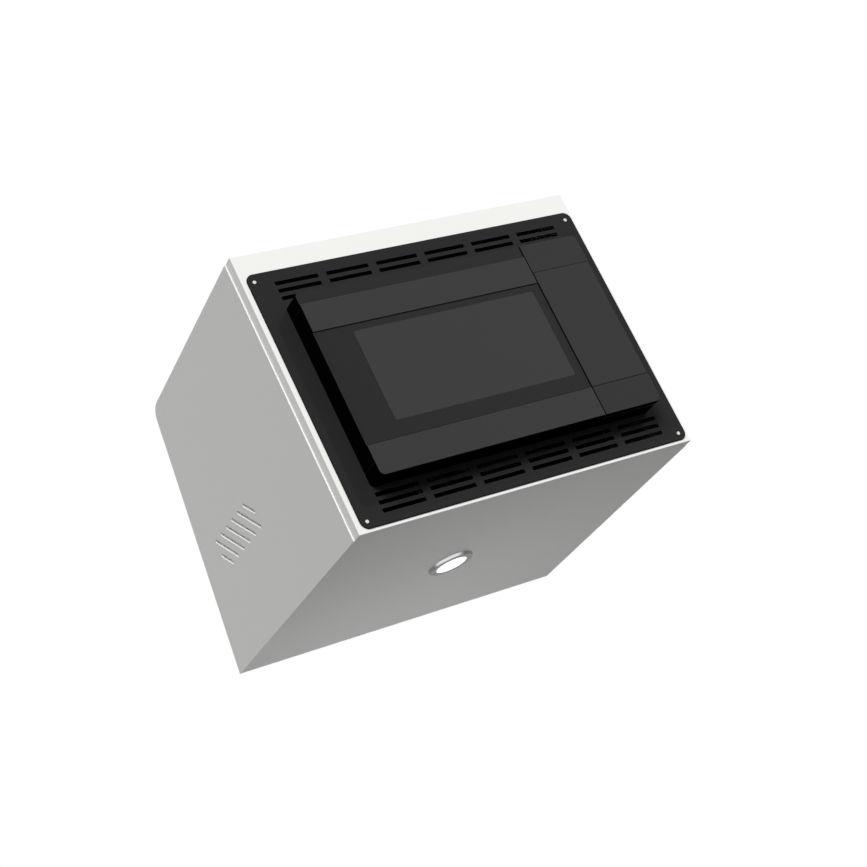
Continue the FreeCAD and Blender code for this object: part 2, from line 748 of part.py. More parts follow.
def insulation_jacket():
    """Moulded fibre jacket round the liner."""
    jacket = box(cavity_x0 - LINER_T - JACKET_T, jacket_x1, jacket_front, jacket_back,
                 tray_top, cavity_z1 + LINER_T + JACKET_T)
    cuts = [liner_outside()]
    cuts += cap_drills(cavity_x0 - LINER_T - JACKET_T - 1, jacket_x1 + 1)
    cuts.append(shaft_drill(cavity_back, jacket_back + 1, SHAFT_HOLE_GAP))
    cuts.append(rod(V(cavity_x1, probe_y, cavity_z1 - PROBE_DOWN),
                    V(jacket_x1 + 1, probe_y, cavity_z1 - PROBE_DOWN), PROBE_NUT_R + GLASS_GAP))
    return jacket.cut(Part.makeCompound(cuts))


def chassis_tray():
    """Base sheet under the cavity and the electronics, with its side edges turned down."""
    y0 = jacket_front
    y1 = jacket_back + TRAY_REACH
    half_w = fascia_x1 - TRAY_SIDE
    tray = box(-half_w, half_w, y0, y1, tray_top - TRAY_T, tray_top)
    for side in (-1, 1):
        x0, x1 = sorted((side * half_w, side * (half_w - TRAY_T)))
        tray = tray.fuse(box(x0, x1, y0, y1, tray_top - TRAY_LIP, tray_top))
    return tray.removeSplitter()


def support_rails():
    """Two channels that carry the oven above the floor panel and leave the lamp clear."""
    rails = []
    for x in (cavity_x0 + RAIL_LEFT_IN, cavity_x1 + RAIL_RIGHT_OUT):
        outer = box(x - RAIL_W / 2, x + RAIL_W / 2, jacket_front, jacket_back, SHEET, tray_top - TRAY_T)
        inner = box(x - RAIL_W / 2 + RAIL_T, x + RAIL_W / 2 - RAIL_T, jacket_front - 1, jacket_back + 1,
                    SHEET + RAIL_T, tray_top - TRAY_T - RAIL_T)
        slot = box(x - RAIL_W / 4, x + RAIL_W / 4, jacket_front - 1, jacket_back + 1, 0, SHEET + 2 * RAIL_T)
        rails.append(outer.cut(inner).cut(slot))
    return Part.makeCompound(rails)


def heaters(z):
    """Quartz tubes across the cavity, held in the caps at both ends."""
    reach = CAP_BORE_L - CAP_COLLAR_T - CAP_GAP
    return Part.makeCompound([
        rod(V(cavity_x0 - reach, y, z), V(cavity_x1 + reach, y, z), HEATER_R) for y in HEATER_Y])


def heater_caps():
    """Stepped ceramic caps: a collar inside the wall, a barrel through it, a blind bore for the tube."""
    caps = []
    for y, z in heater_places():
        for wall, out in ((cavity_x0, -1), (cavity_x1, 1)):
            inside = V(wall - out * CAP_COLLAR_T, y, z)
            cap = rod(inside, V(wall, y, z), CAP_COLLAR_R)
            cap = cap.fuse(rod(V(wall, y, z), V(wall + out * CAP_L, y, z), CAP_R))
            bore = rod(inside - V(out, 0, 0), inside + V(out * CAP_BORE_L, 0, 0), HEATER_R + CAP_GAP)
            caps.append(cap.cut(bore).removeSplitter())
    return Part.makeCompound(caps)


runner_top = cavity_z0 + RUNNER_UP + RUNNER_T


def rack_runners():
    """Angle strips on the side walls that the rack lies on."""
    runners = []
    for wall, inward in ((cavity_x0, 1), (cavity_x1, -1)):
        foot = cavity_z0 + RUNNER_UP
        outline = [(0, 0), (RUNNER_W, 0), (RUNNER_W, RUNNER_T), (RUNNER_T, RUNNER_T),
                   (RUNNER_T, RUNNER_H), (0, RUNNER_H)]
        points = [V(wall + inward * x, FACE_T + RUNNER_FRONT, foot + z) for x, z in outline]
        runners.append(prism(points, V(0, RUNNER_L, 0)))
    return Part.makeCompound(runners)


def board_rack():
    """Wire rack for circuit boards: a frame of thick wire bent at its corners, with thinner bars across it."""
    x0 = cavity_x0 + RACK_GAP + RACK_WIRE_R
    x1 = cavity_x1 - RACK_GAP - RACK_WIRE_R
    y0 = FACE_T + RUNNER_FRONT + RACK_GAP + RACK_WIRE_R
    y1 = y0 + RACK_L
    z = runner_top + RACK_WIRE_R
    bend = RACK_BEND_R
    centres = [V(x1 - bend, y0 + bend, z), V(x1 - bend, y1 - bend, z), V(x0 + bend, y1 - bend, z),
               V(x0 + bend, y0 + bend, z)]
    out = [V(0, -bend, 0), V(bend, 0, 0), V(0, bend, 0), V(-bend, 0, 0)]
    wires = []
    for i, centre in enumerate(centres):
        wires.append(rod(centres[i - 1] + out[i], centre + out[i], RACK_WIRE_R))
        ring = Part.makeTorus(bend, RACK_WIRE_R, centre, V(0, 0, 1), -180, 180, 90)
        ring.rotate(centre, V(0, 0, 1), 90 * i - 90)
        wires.append(ring)
    rack = wires[0].multiFuse(wires[1:])
    for i in range(RACK_BARS):
        x = x0 + (x1 - x0) * (i + 1) / (RACK_BARS + 1)
        rack = rack.fuse(rod(V(x, y0, z), V(x, y1, z), RACK_BAR_R))
    return rack


def thermocouple():
    """Sheathed probe through the right wall, with its nut against the liner."""
    z = cavity_z1 - PROBE_DOWN
    wall = cavity_x1 + LINER_T
    probe = rod(V(wall - PROBE_L, probe_y, z), V(wall + PROBE_NUT_T, probe_y, z), PROBE_R)
    probe = probe.fuse(Part.makeSphere(PROBE_R, V(wall - PROBE_L, probe_y, z)))
    nut = rod(V(wall, probe_y, z), V(wall + PROBE_NUT_T, probe_y, z), PROBE_NUT_R)
    return probe.fuse(nut).removeSplitter()


# Convection fan

def about_fan(shape, angle):
    turned = shape.copy()
    turned.rotate(V(cavity_xc, 0, block_zc), V(0, 1, 0), angle)
    return turned


cover_front = cavity_back - COVER_DEPTH


def fan_cover():
    """Dished cover over the fan, drilled with rings of holes."""
    dish = rod(V(cavity_xc, cover_front, block_zc), V(cavity_xc, cavity_back, block_zc), cover_r)
    nose = [e for e in dish.Edges if e.Closed and abs(e.CenterOfMass.y - cover_front) < 1e-6]
    dish = dish.makeFillet(COVER_RIM, nose)
    hollow = rod(V(cavity_xc, cover_front + COVER_T, block_zc), V(cavity_xc, cavity_back + 1, block_zc),
                 cover_r - COVER_T)
    nose = [e for e in hollow.Edges if e.Closed and abs(e.CenterOfMass.y - cover_front - COVER_T) < 1e-6]
    hollow = hollow.makeFillet(COVER_RIM - COVER_T, nose)
    rim = rod(V(cavity_xc, cavity_back - COVER_T, block_zc), V(cavity_xc, cavity_back, block_zc),
              cover_r + COVER_RIM)
    cover = dish.fuse(rim).cut(hollow)
    drills = []
    for i, count in enumerate(COVER_RING_COUNTS):
        ring_r = cover_r - COVER_RIM - COVER_RING_IN - i * COVER_RING_PITCH
        drill = rod(V(cavity_xc + ring_r, cover_front - 1, block_zc),
                    V(cavity_xc + ring_r, cover_front + COVER_RIM, block_zc), COVER_HOLE_R)
        drills += [about_fan(drill, 360.0 * turn / count) for turn in range(count)]
    return cover.cut(Part.makeCompound(drills))


wheel_back = cavity_back - WHEEL_BACK_GAP


def convection_wheel():
    """Pressed disc with radial blades and a hub that grips the shaft."""
    disc_y = wheel_back - WHEEL_T
    wheel = rod(V(cavity_xc, disc_y, block_zc), V(cavity_xc, wheel_back, block_zc), wheel_r)
    wheel = wheel.fuse(rod(V(cavity_xc, disc_y - BLADE_DEPTH, block_zc),
                           V(cavity_xc, wheel_back, block_zc), HUB_R))
    for i in range(WHEEL_BLADES):
        blade = box(cavity_xc + BLADE_ROOT, cavity_xc + wheel_r - WHEEL_T, disc_y - BLADE_DEPTH, disc_y,
                    block_zc - WHEEL_T / 2, block_zc + WHEEL_T / 2)
        wheel = wheel.fuse(about_fan(blade, 360.0 * i / WHEEL_BLADES))
    return wheel.cut(shaft_drill(disc_y - BLADE_DEPTH - 1, wheel_back + 1, PIN_PRESS_GAP)).removeSplitter()


bracket_y = jacket_back + BRACKET_STAND
motor_y = bracket_y + BRACKET_T


def fan_shaft():
    return rod(V(cavity_xc, wheel_back - WHEEL_T - BLADE_DEPTH, block_zc),
               V(cavity_xc, motor_y + MOTOR_L / 2, block_zc), SHAFT_R)


def motor_bracket():
    """Folded bracket that stands the motor off the hot jacket."""
    plate = box(cavity_xc - BRACKET_W / 2, cavity_xc + BRACKET_W / 2, jacket_back, motor_y,
                block_zc - BRACKET_H / 2, block_zc + BRACKET_H / 2)
    inner_w = BRACKET_W / 2 - BRACKET_T
    plate = plate.cut(box(cavity_xc - inner_w, cavity_xc + inner_w, jacket_back - 1, bracket_y,
                          block_zc - BRACKET_H, block_zc + BRACKET_H))
    return plate.cut(shaft_drill(bracket_y - 1, motor_y + 1, SHAFT_HOLE_GAP))


def fan_motor():
    can = rod(V(cavity_xc, motor_y, block_zc), V(cavity_xc, motor_y + MOTOR_L, block_zc), MOTOR_R)
    can = can.makeFillet(SHAFT_R, [e for e in can.Edges if e.Closed])
    return can.cut(shaft_drill(motor_y - 1, motor_y + MOTOR_L / 2 + SHAFT_R, SHAFT_RUN_GAP))


# Bay beside the cavity

fan_zc = tray_top + FAN_SIZE / 2
core_y = FAN_Y + FAN_T - FAN_STRUT_T - FAN_CORE_L


def cooling_fan_frame():
    """Square axial fan frame with a round duct, four struts and a fixed core."""
    half = FAN_SIZE / 2
    frame = box(bay_x - half, bay_x + half, FAN_Y, FAN_Y + FAN_T, fan_zc - half, fan_zc + half)
    frame = rounded(frame, FAN_STRUT_T, V(0, 1, 0))
    centre = V(bay_x, FAN_Y, fan_zc)
    frame = frame.cut(rod(centre - V(0, 1, 0), centre + V(0, FAN_T + 1, 0), FAN_BORE_R))
    back = FAN_Y + FAN_T
    reach = FAN_BORE_R + FAN_GAP
    strut = box(bay_x - reach, bay_x + reach, back - FAN_STRUT_T, back,
                fan_zc - FAN_STRUT_T / 2, fan_zc + FAN_STRUT_T / 2)
    upright = strut.copy()
    upright.rotate(V(bay_x, 0, fan_zc), V(0, 1, 0), 90)
    frame = frame.fuse(strut).fuse(upright)
    frame = frame.fuse(rod(V(bay_x, core_y, fan_zc), V(bay_x, back, fan_zc), FAN_HUB_R - FAN_GAP))
    bore = rod(V(bay_x, core_y - 1, fan_zc), V(bay_x, back - FAN_STRUT_T / 2, fan_zc),
               FAN_SHAFT_R + SHAFT_RUN_GAP)
    return frame.cut(bore).removeSplitter()


def blade_section(radius, pitch_deg, chord, thick):
    """Four-sided section of a fan blade at one radius, pitched about the radius."""
    mid_y = (FAN_Y + FAN_GAP + core_y) / 2
    pitch = math.radians(pitch_deg)
    along = V(0, math.sin(pitch), math.cos(pitch)) * (chord / 2)
    across = V(0, math.cos(pitch), -math.sin(pitch)) * (thick / 2)
    centre = V(bay_x + radius, mid_y, fan_zc)
    points = [centre - along - across, centre + along - across, centre + along + across,
              centre - along + across]
    return Part.makePolygon(points + points[:1])


def cooling_fan_rotor():
    """Rotor with twisted blades, lofted from root to tip."""
    front = FAN_Y + FAN_GAP
    rotor = rod(V(bay_x, front, fan_zc), V(bay_x, core_y - FAN_GAP / 2, fan_zc), FAN_HUB_R)
    nose = [e for e in rotor.Edges if e.Closed and abs(e.CenterOfMass.y - front) < 1e-6]
    rotor = rotor.makeFillet(FAN_GAP, nose)
    rotor = rotor.fuse(rod(V(bay_x, core_y - FAN_GAP, fan_zc),
                           V(bay_x, core_y + FAN_CORE_L - FAN_GAP, fan_zc), FAN_SHAFT_R))
    depth = core_y - FAN_GAP - front
    root = blade_section(FAN_HUB_R - FAN_GAP, 48, depth, FAN_GAP)
    tip = blade_section(FAN_TIP_R, 28, depth * 1.5, FAN_GAP)
    blade = Part.makeLoft([root, tip], True, True)
    for i in range(FAN_BLADES):
        turned = blade.copy()
        turned.rotate(V(bay_x, 0, fan_zc), V(0, 1, 0), 360.0 * i / FAN_BLADES)
        rotor = rotor.fuse(turned)
    keep = rod(V(bay_x, FAN_Y, fan_zc), V(bay_x, FAN_Y + FAN_T, fan_zc), FAN_TIP_R)
    return rotor.common(keep).removeSplitter()


power_z = tray_top + POWER_UP


def power_board():
    """Power board on its pillars."""
    x0 = bay_x - POWER_W / 2
    x1 = bay_x + POWER_W / 2
    board = box(x0, x1, POWER_Y, POWER_Y + POWER_L, power_z, power_z + BOARD_T)
    for x in (x0 + POST_R, x1 - POST_R):
        for y in (POWER_Y + POST_R, POWER_Y + POWER_L - POST_R):
            board = board.fuse(rod(V(x, y, tray_top), V(x, y, power_z), POST_R))
    return board.removeSplitter()


def heat_sink():
    """Finned extrusion for the heater switches."""
    z = power_z + BOARD_T
    sink = box(bay_x - SINK_W / 2, bay_x + SINK_W / 2, POWER_Y + FAN_T, POWER_Y + FAN_T + SINK_L,
               z, z + SINK_BASE)
    step = (SINK_W - FIN_T) / (SINK_FINS - 1)
    for i in range(SINK_FINS):
        x = bay_x - SINK_W / 2 + i * step
        sink = sink.fuse(box(x, x + FIN_T, POWER_Y + FAN_T, POWER_Y + FAN_T + SINK_L, z, z + SINK_H))
    return sink.removeSplitter()


def terminal_block():
    """Moulded block with one clamp well for each way."""
    block = box(bay_x - TERMINAL_W / 2, bay_x + TERMINAL_W / 2, TERMINAL_Y, TERMINAL_Y + TERMINAL_L,
                tray_top, tray_top + TERMINAL_H)
    way = TERMINAL_W / TERMINAL_WAYS
    for i in range(TERMINAL_WAYS):
        x = bay_x - TERMINAL_W / 2 + (i + 0.5) * way
        y = TERMINAL_Y + TERMINAL_L / 2
        top = tray_top + TERMINAL_H
        block = block.cut(rod(V(x, y, top - TERMINAL_H / 2), V(x, y, top + 1), way / 3))
    return block


def door_switch():
    """Microswitch behind the oven face, beside the upper hook."""
    x0 = latch_x1 + PEG_L + SLOT_ROOM + SWITCH_GAP
    z1 = hook_tops[1] + BUTTON_TRAVEL
    body = box(x0, x0 + SWITCH_W, FACE_T, FACE_T + SWITCH_D, z1 - SWITCH_H, z1)
    return body.fuse(rod(V(x0 - SWITCH_GAP / 2, FACE_T + SWITCH_D / 2, z1 - SWITCH_H / 2),
                         V(x0, FACE_T + SWITCH_D / 2, z1 - SWITCH_H / 2), PEG_R)).removeSplitter()


# Control fascia

def fascia_block(y0, y1, z0, z1):
    """Full-width slice of the fascia's outline, with the rounded right corners of the whole block."""
    whole = box(fascia_x0, fascia_x1, y0, y1, block_z0, block_z1)
    whole = rounded(whole, BLOCK_R, V(0, 1, 0), lambda p: p.x > fascia_x1 - 1e-6)
    return whole.common(box(fascia_x0, fascia_x1, y0, y1, z0, z1))


def display_z0():
    return block_z1 - DISPLAY_H


def readout_box(room, y0, y1):
    x = (fascia_x0 + fascia_x1) / 2
    z = (display_z0() + block_z1) / 2
    return box(x - READOUT_W / 2 - room, x + READOUT_W / 2 + room, y0, y1,
               z - READOUT_H / 2 - room, z + READOUT_H / 2 + room)


def keypad_plate(gap, y0, y1):
    """Film between the display and the button, over the flat width of the fascia."""
    return box(fascia_x0 + BLOCK_EDGE_R + gap, fascia_x1 - BLOCK_EDGE_R - gap, y0, y1,
               button_top + BUTTON_SEAM + BLOCK_EDGE_R + gap, display_z0() - gap)


def board_corners():
    inset = FASCIA_WALL + BOARD_MARGIN + POST_R
    for x in (fascia_x0 + inset, fascia_x1 - inset):
        for z in (button_top + inset, display_z0() - inset):
            yield x, z


def control_fascia():
    """Moulded shell: display seat at the top, keypad seat below it, stepped back behind the button."""
    wall = FASCIA_WALL
    shell = fascia_block(front_y, -FRAME_T, block_z0, block_z1)
    shell = softened_front(shell, front_y, BLOCK_EDGE_R)
    shelf = button_top + BUTTON_SEAM
    cuts = [
        box(fascia_x0 + wall, fascia_x1 - wall, front_y + FASCIA_FRONT, 0, shelf + wall, block_z1 - wall),
        box(fascia_x0 + wall, fascia_x1 - wall, recess_y + wall, 0, block_z0 + wall, shelf + 2 * wall),
        box(fascia_x0 - 1, fascia_x1 + 1, front_y - 1, recess_y, block_z0 - 1, shelf),
        box(fascia_x0 - 1, fascia_x1 + 1, front_y - 1, front_y + DISPLAY_T, display_z0(), block_z1 + 1),
        readout_box(READOUT_GAP, front_y, front_y + FASCIA_FRONT + 1),
        keypad_plate(0, front_y - 1, front_y + KEYPAD_T),
    ]
    half = STEM_W / 2 + STEM_ROOM
    cuts.append(box(stem_x - half, stem_x + half, recess_y - 1, 0, stem_z - half, stem_z + half))
    shell = shell.cut(Part.makeCompound(cuts[:1])).cut(Part.makeCompound(cuts[1:2]))
    for cut in cuts[2:]:
        shell = shell.cut(cut)
    shell = shell.fuse(box(fascia_x0, fascia_x0 + wall, -FRAME_T, 0, open_z0 + wall, open_z1 - wall))
    for x, z in board_corners():
        shell = shell.fuse(rod(V(x, front_y + FASCIA_FRONT, z), V(x, board_y, z), POST_R))
    return shell.removeSplitter()


def display_window():
    pane = fascia_block(front_y, front_y + DISPLAY_T, display_z0() + DISPLAY_SEAM, block_z1)
    return softened_front(pane, front_y, BLOCK_EDGE_R / 2)


def keypad_membrane():
    return keypad_plate(KEYPAD_GAP, front_y, front_y + KEYPAD_T)


def control_board():
    margin = FASCIA_WALL + BOARD_MARGIN
    return box(fascia_x0 + margin, fascia_x1 - margin, board_y, board_y + BOARD_T,
               button_top + margin, block_z1 - margin)


def display_module():
    return readout_box(0, front_y + DISPLAY_T + READOUT_GAP, board_y)


# Release button, its ramp and its return spring

def release_button():
    cap = fascia_block(front_y, button_back, block_z0, button_top)
    cap = softened_front(cap, front_y, BLOCK_EDGE_R)
    half = STEM_W / 2
    stem = box(stem_x - half, stem_x + half, button_back, slider_y, stem_z - half, stem_z + half)
    return cap.fuse(stem).removeSplitter()


peg_y = FACE_T + PEG_BACK


def peg_z(hook_top):
    return hook_top - HOOK_H / 2


def release_slider():
    """Arm on the stem's end that carries a 45 degree ramp under the lower hook's peg."""
    half = STEM_W / 2
    ramp_x0 = latch_x1 + LATCH_ROOM
    arm = box(ramp_x0, stem_x + half, slider_y, slider_y + SLIDER_T, stem_z - half, stem_z + half)
    crown = peg_y + peg_z(hook_tops[0]) - (PEG_R + LATCH_ROOM) * math.sqrt(2)
    y1 = slider_y + RAMP_L
    foot = stem_z - half
    outline = [(slider_y, foot - RAMP_FOOT), (slider_y, crown - slider_y), (y1, crown - y1),
               (y1, foot - RAMP_FOOT)]
    ramp = prism([V(ramp_x0, y, z) for y, z in outline], V(RAMP_T, 0, 0))
    below = box(ramp_x0 + RAMP_T, stem_x + half + 1, slider_y - 1, slider_y + SLIDER_T + 1,
                foot - RAMP_FOOT - 1, stem_z + STEM_W)
    arm = arm.common(below)
    return arm.fuse(ramp).removeSplitter()


def bowed_strip(ends, crown, thick, width):
    """Thin strip bowed through three points in the XY plane, standing width high."""
    start, end = ends
    lift = V(0, thick if crown.y > start.y else -thick, 0)
    outer = Part.Arc(start, crown, end).toShape()
    inner = Part.Arc(start - lift, crown - lift, end - lift).toShape()
    sides = [Part.makeLine(start, start - lift), Part.makeLine(end, end - lift)]
    face = Part.Face(Part.Wire(Part.__sortEdges__([outer, inner] + sides)))
    return face.extrude(V(0, 0, width))


def button_spring():
    """Bowed leaf between the recess wall and the back of the button."""
    x0 = stem_x + SPRING_FROM_STEM - SPRING_SPAN / 2
    z0 = stem_z - SPRING_W / 2
    touch = PIN_RUN_GAP
    foot_y = recess_y - touch - SPRING_STRIP
    return bowed_strip((V(x0, foot_y, z0), V(x0 + SPRING_SPAN, foot_y, z0)),
                       V(x0 + SPRING_SPAN / 2, button_back + touch, z0), SPRING_STRIP, SPRING_W)


# Door

def door_block(y0, y1, z0, z1):
    """Slice of the door's outline, with the rounded left corners of the whole block."""
    whole = box(door_x0, door_x1, y0, y1, block_z0, block_z1)
    whole = rounded(whole, BLOCK_R, V(0, 1, 0), lambda p: p.x < door_x0 + 1e-6)
    return whole.common(box(door_x0, door_x1, y0, y1, z0, z1))


def swing_plan(inset, y_front, y_back, x_right):
    """Plan of the door with its rear left edge rounded to turn clear of the frame, as an upright prism."""
    left = door_x0 + inset
    rear = door_rear - inset
    round_r = max(SWING_R - inset, 0)
    plan = [(left, rear - round_r), (left, y_front), (x_right, y_front), (x_right, y_back), (hinge_x, y_back)]
    if y_back > rear:
        plan.append((hinge_x, rear))
    plan.append((left + round_r, rear))
    points = [V(x, y, block_z0) for x, y in plan]
    edges = [Part.makeLine(start, end) for start, end in zip(points, points[1:])]
    if round_r > 0:
        bulge = round_r * (1 - math.sqrt(0.5))
        edges.append(Part.Arc(points[-1], V(left + bulge, rear - bulge, block_z0), points[0]).toShape())
    return Part.Face(Part.Wire(edges)).extrude(V(0, 0, block_z1 - block_z0))


def window_cut(y0, y1):
    return rounded(box(window_x0, window_x1, y0, y1, window_z0, window_z1), WINDOW_R, V(0, 1, 0))


def lug_sweep():
    """Room for the fixed lug as the door turns round it: open to the rear and to the left."""
    return box(door_x0 - 1, hinge_x + LUG_R + LUG_ROOM, hinge_y - LUG_R - SWEEP_ROOM, door_rear + 1,
               lug_z0 - LUG_ROOM, lug_z1 + LUG_ROOM)


def hinge_boss():
    return box(door_x0 + DOOR_WALL, door_x0 + DOOR_WALL + BOSS_W, inner_face, hinge_y + BUSH_R + DOOR_WALL,
               lug_z0 - LUG_ROOM - BOSS_H, lug_z0 - LUG_ROOM)


def bush_hole():
    return rod(V(hinge_x, hinge_y, lug_z0 - LUG_ROOM - BOSS_H - 1), V(hinge_x, hinge_y, lug_z0),
               BUSH_R + PIN_PRESS_GAP)


def latch_guide(z):
    """Rib in the door with a slot that the latch bar slides in."""
    rib = box(latch_x0 - 2 * DOOR_WALL, door_x1 - DOOR_WALL, inner_face, pan_front - PAN_GAP, z, z + GUIDE_H)
    slot = box(latch_x0 - LATCH_ROOM, latch_x1 + LATCH_ROOM, latch_rear - LATCH_DEPTH - LATCH_ROOM, pan_front,
               z - 1, z + GUIDE_H + 1)
    return rib.cut(slot)


def door_shell():
    """Moulded door shell, open at the back, with hinge bosses and the ribs that guide the latch."""
    shell = door_block(door_face, door_rear, block_z0, block_z1)
    shell = shell.common(swing_plan(0, door_face, door_rear, door_x1))
    hollow = swing_plan(DOOR_WALL, inner_face, door_rear, door_x1 - DOOR_WALL)
    hollow = hollow.common(box(door_x0, door_x1, front_y, 0, block_z0 + DOOR_WALL, block_z1 - DOOR_WALL))
    shell = shell.cut(hollow)
    for boss in (hinge_boss(), mirrored_up(hinge_boss())):
        shell = shell.fuse(boss)
    for z in (block_z0 + GUIDE_FROM_END, block_z1 - GUIDE_FROM_END - GUIDE_H):
        shell = shell.fuse(latch_guide(z))
    cuts = [window_cut(door_face - 1, inner_face + 1), glass_pane(GLASS_GAP)]
    for cut in (lug_sweep(), bush_hole()):
        cuts += [cut, mirrored_up(cut)]
    for cut in cuts:
        shell = shell.cut(cut)
    return shell.removeSplitter()


def band(z0, z1):
    strip = door_block(front_y, door_face, z0, z1)
    return softened_front(strip, front_y, BLOCK_EDGE_R)


def upper_band():
    top = block_z1 - TOP_STRIP_H
    return band(top - UPPER_BAND_H, top)


def lower_band():
    return band(block_z0, block_z0 + LOWER_BAND_H)


def glass_pane(room):
    return box(door_x0 + GLASS_SIDE - room, door_x1 - GLASS_SIDE + room, door_face, door_face + GLASS_T,
               block_z0 + LOWER_BAND_H + GLASS_SIDE / 4 - room,
               block_z1 - TOP_STRIP_H - UPPER_BAND_H - GLASS_SIDE / 4 + room)


def inner_glass():
    return box(window_x0 - INNER_GLASS_LAP_END, window_x1 + INNER_GLASS_LAP_SIDE, pan_front - INNER_GLASS_T,
               pan_front, window_z0 - INNER_GLASS_LAP_END, window_z1 + INNER_GLASS_LAP_END)


def door_inner_panel():
    """Steel panel that closes the back of the door and frames the inner glass."""
    edge = DOOR_WALL + PAN_GAP
    panel = box(hinge_x + PAN_GAP, door_x1 - edge, pan_front, door_rear, block_z0 + edge, block_z1 - edge)
    cuts = [rounded(box(window_x0, window_x1 - INNER_GLASS_LAP_SIDE, pan_front - 1, door_rear + 1,
                        window_z0, window_z1), WINDOW_R, V(0, 1, 0))]
    cuts += [lug_sweep(), mirrored_up(lug_sweep())]
    for hook_top in hook_tops:
        cuts.append(hook_slot(hook_top, pan_front - 1, door_rear + 1))
    for cut in cuts:
        panel = panel.cut(cut)
    return panel


def door_gasket():
    """Heat-proof seal round the cavity's mouth, on the back of the door."""
    near = GASKET_OFF
    far = GASKET_OFF + GASKET_W
    y1 = -GASKET_FREE
    outer = rounded(box(cavity_x0 - far, cavity_x1 + far, door_rear, y1, cavity_z0 - far, cavity_z1 + far),
                    GASKET_W, V(0, 1, 0))
    inner = box(cavity_x0 - near, cavity_x1 + near, door_rear - 1, y1 + 1, cavity_z0 - near, cavity_z1 + near)
    return outer.cut(inner)


def upper_hinge_bush():
    top = lug_z0 - BUSH_FACE_GAP
    bush = rod(V(hinge_x, hinge_y, top - BUSH_L), V(hinge_x, hinge_y, top), BUSH_R)
    return bush.cut(rod(V(hinge_x, hinge_y, top - BUSH_L - 1), V(hinge_x, hinge_y, top + 1),
                        PIN_R + PIN_RUN_GAP))


def hook(hook_top):
    """Hook that reaches back through the oven face, its nose down behind it and its tail bevelled."""
    arm_foot = hook_top - HOOK_H
    outline = [(latch_rear - LATCH_DEPTH / 2, hook_top), (hook_tip, hook_top), (hook_tip, arm_foot),
               (nose_y1, arm_foot - HOOK_DROP), (nose_y0, arm_foot - HOOK_DROP), (nose_y0, arm_foot),
               (latch_rear - LATCH_DEPTH / 2, arm_foot)]
    arm = prism([V(latch_x0, y, z) for y, z in outline], V(LATCH_T, 0, 0))
    peg = V(latch_x1, peg_y, peg_z(hook_top))
    return arm.fuse(rod(peg, peg + V(PEG_L, 0, 0), PEG_R))


def latch_top():
    return block_z1 - DOOR_WALL - LATCH_TOP_ROOM


def latch_bar():
    """Steel bar that slides up and down in the door and carries both hooks."""
    bar = box(latch_x0, latch_x1, latch_rear - LATCH_DEPTH, latch_rear, hook_tops[0] - HOOK_H, latch_top())
    for hook_top in hook_tops:
        bar = bar.fuse(hook(hook_top))
    return bar.removeSplitter()


def latch_spring():
    """Zigzag strip between the door's top wall and the bar, which pushes the bar down."""
    z0 = latch_top() + PIN_RUN_GAP
    z1 = block_z1 - DOOR_WALL - PIN_RUN_GAP
    y0 = latch_rear - LATCH_DEPTH
    y1 = latch_rear
    step = (z1 - z0 - SPRING_STRIP) / LATCH_SPRING_FOLDS
    legs = []
    for i in range(LATCH_SPRING_FOLDS):
        start, end = (y0, y1) if i % 2 == 0 else (y1, y0)
        foot = z0 + i * step
        outline = [(start, foot), (end, foot + step), (end, foot + step + SPRING_STRIP),
                   (start, foot + SPRING_STRIP)]
        legs.append(prism([V(latch_x0, y, z) for y, z in outline], V(LATCH_T, 0, 0)))
    return legs[0].fuse(legs[1:]).removeSplitter()


# Lamp in the underside

def lamp_bezel():
    """Turned ring with a bevelled flank below the floor, a seat for the lens and a neck through the hole."""
    seat_r = LENS_R + LENS_GAP
    throat_r = LENS_R - LENS_SEAT
    seat_z = LENS_T - BEZEL_DROP + LENS_GAP
    top = SHEET + NECK_UP
    profile = [(seat_r, -BEZEL_DROP), (BEZEL_FACE_R, -BEZEL_DROP), (BEZEL_R, 0), (NECK_R, 0), (NECK_R, top),
               (throat_r, top), (throat_r, seat_z), (seat_r, seat_z)]
    points = [V(lamp_x + r, LAMP_Y, z) for r, z in profile]
    ring = Part.Face(Part.makePolygon(points + points[:1])).revolve(V(lamp_x, LAMP_Y, 0), V(0, 0, 1), 360)
    low = [e for e in ring.Edges if e.Closed and abs(e.Length - 2 * math.pi * BEZEL_FACE_R) < 1e-3]
    return ring.makeFillet(BEZEL_EDGE_R, low)


def lamp_lens():
    lens = rod(V(lamp_x, LAMP_Y, -BEZEL_DROP), V(lamp_x, LAMP_Y, LENS_T - BEZEL_DROP + LENS_GAP), LENS_R)
    low = [e for e in lens.Edges if e.Closed and abs(e.CenterOfMass.z + BEZEL_DROP) < 1e-6]
    return lens.makeFillet(BEZEL_EDGE_R / 2, low)


def lamp_body():
    """Die-cast lamp body above the floor, with cooling grooves turned in its side."""
    foot = SHEET + NECK_UP
    body = rod(V(lamp_x, LAMP_Y, foot), V(lamp_x, LAMP_Y, foot + LAMP_BODY_H), LAMP_BODY_R)
    step = LAMP_BODY_H / (LAMP_FINS + 1)
    for i in range(LAMP_FINS):
        z = foot + (i + 1) * step
        groove = rod(V(lamp_x, LAMP_Y, z - step / 4), V(lamp_x, LAMP_Y, z + step / 4), LAMP_BODY_R + 1)
        groove = groove.cut(rod(V(lamp_x, LAMP_Y, z - step), V(lamp_x, LAMP_Y, z + step),
                                LAMP_BODY_R - LENS_SEAT))
        body = body.cut(groove)
    return body


# Every piece by its name

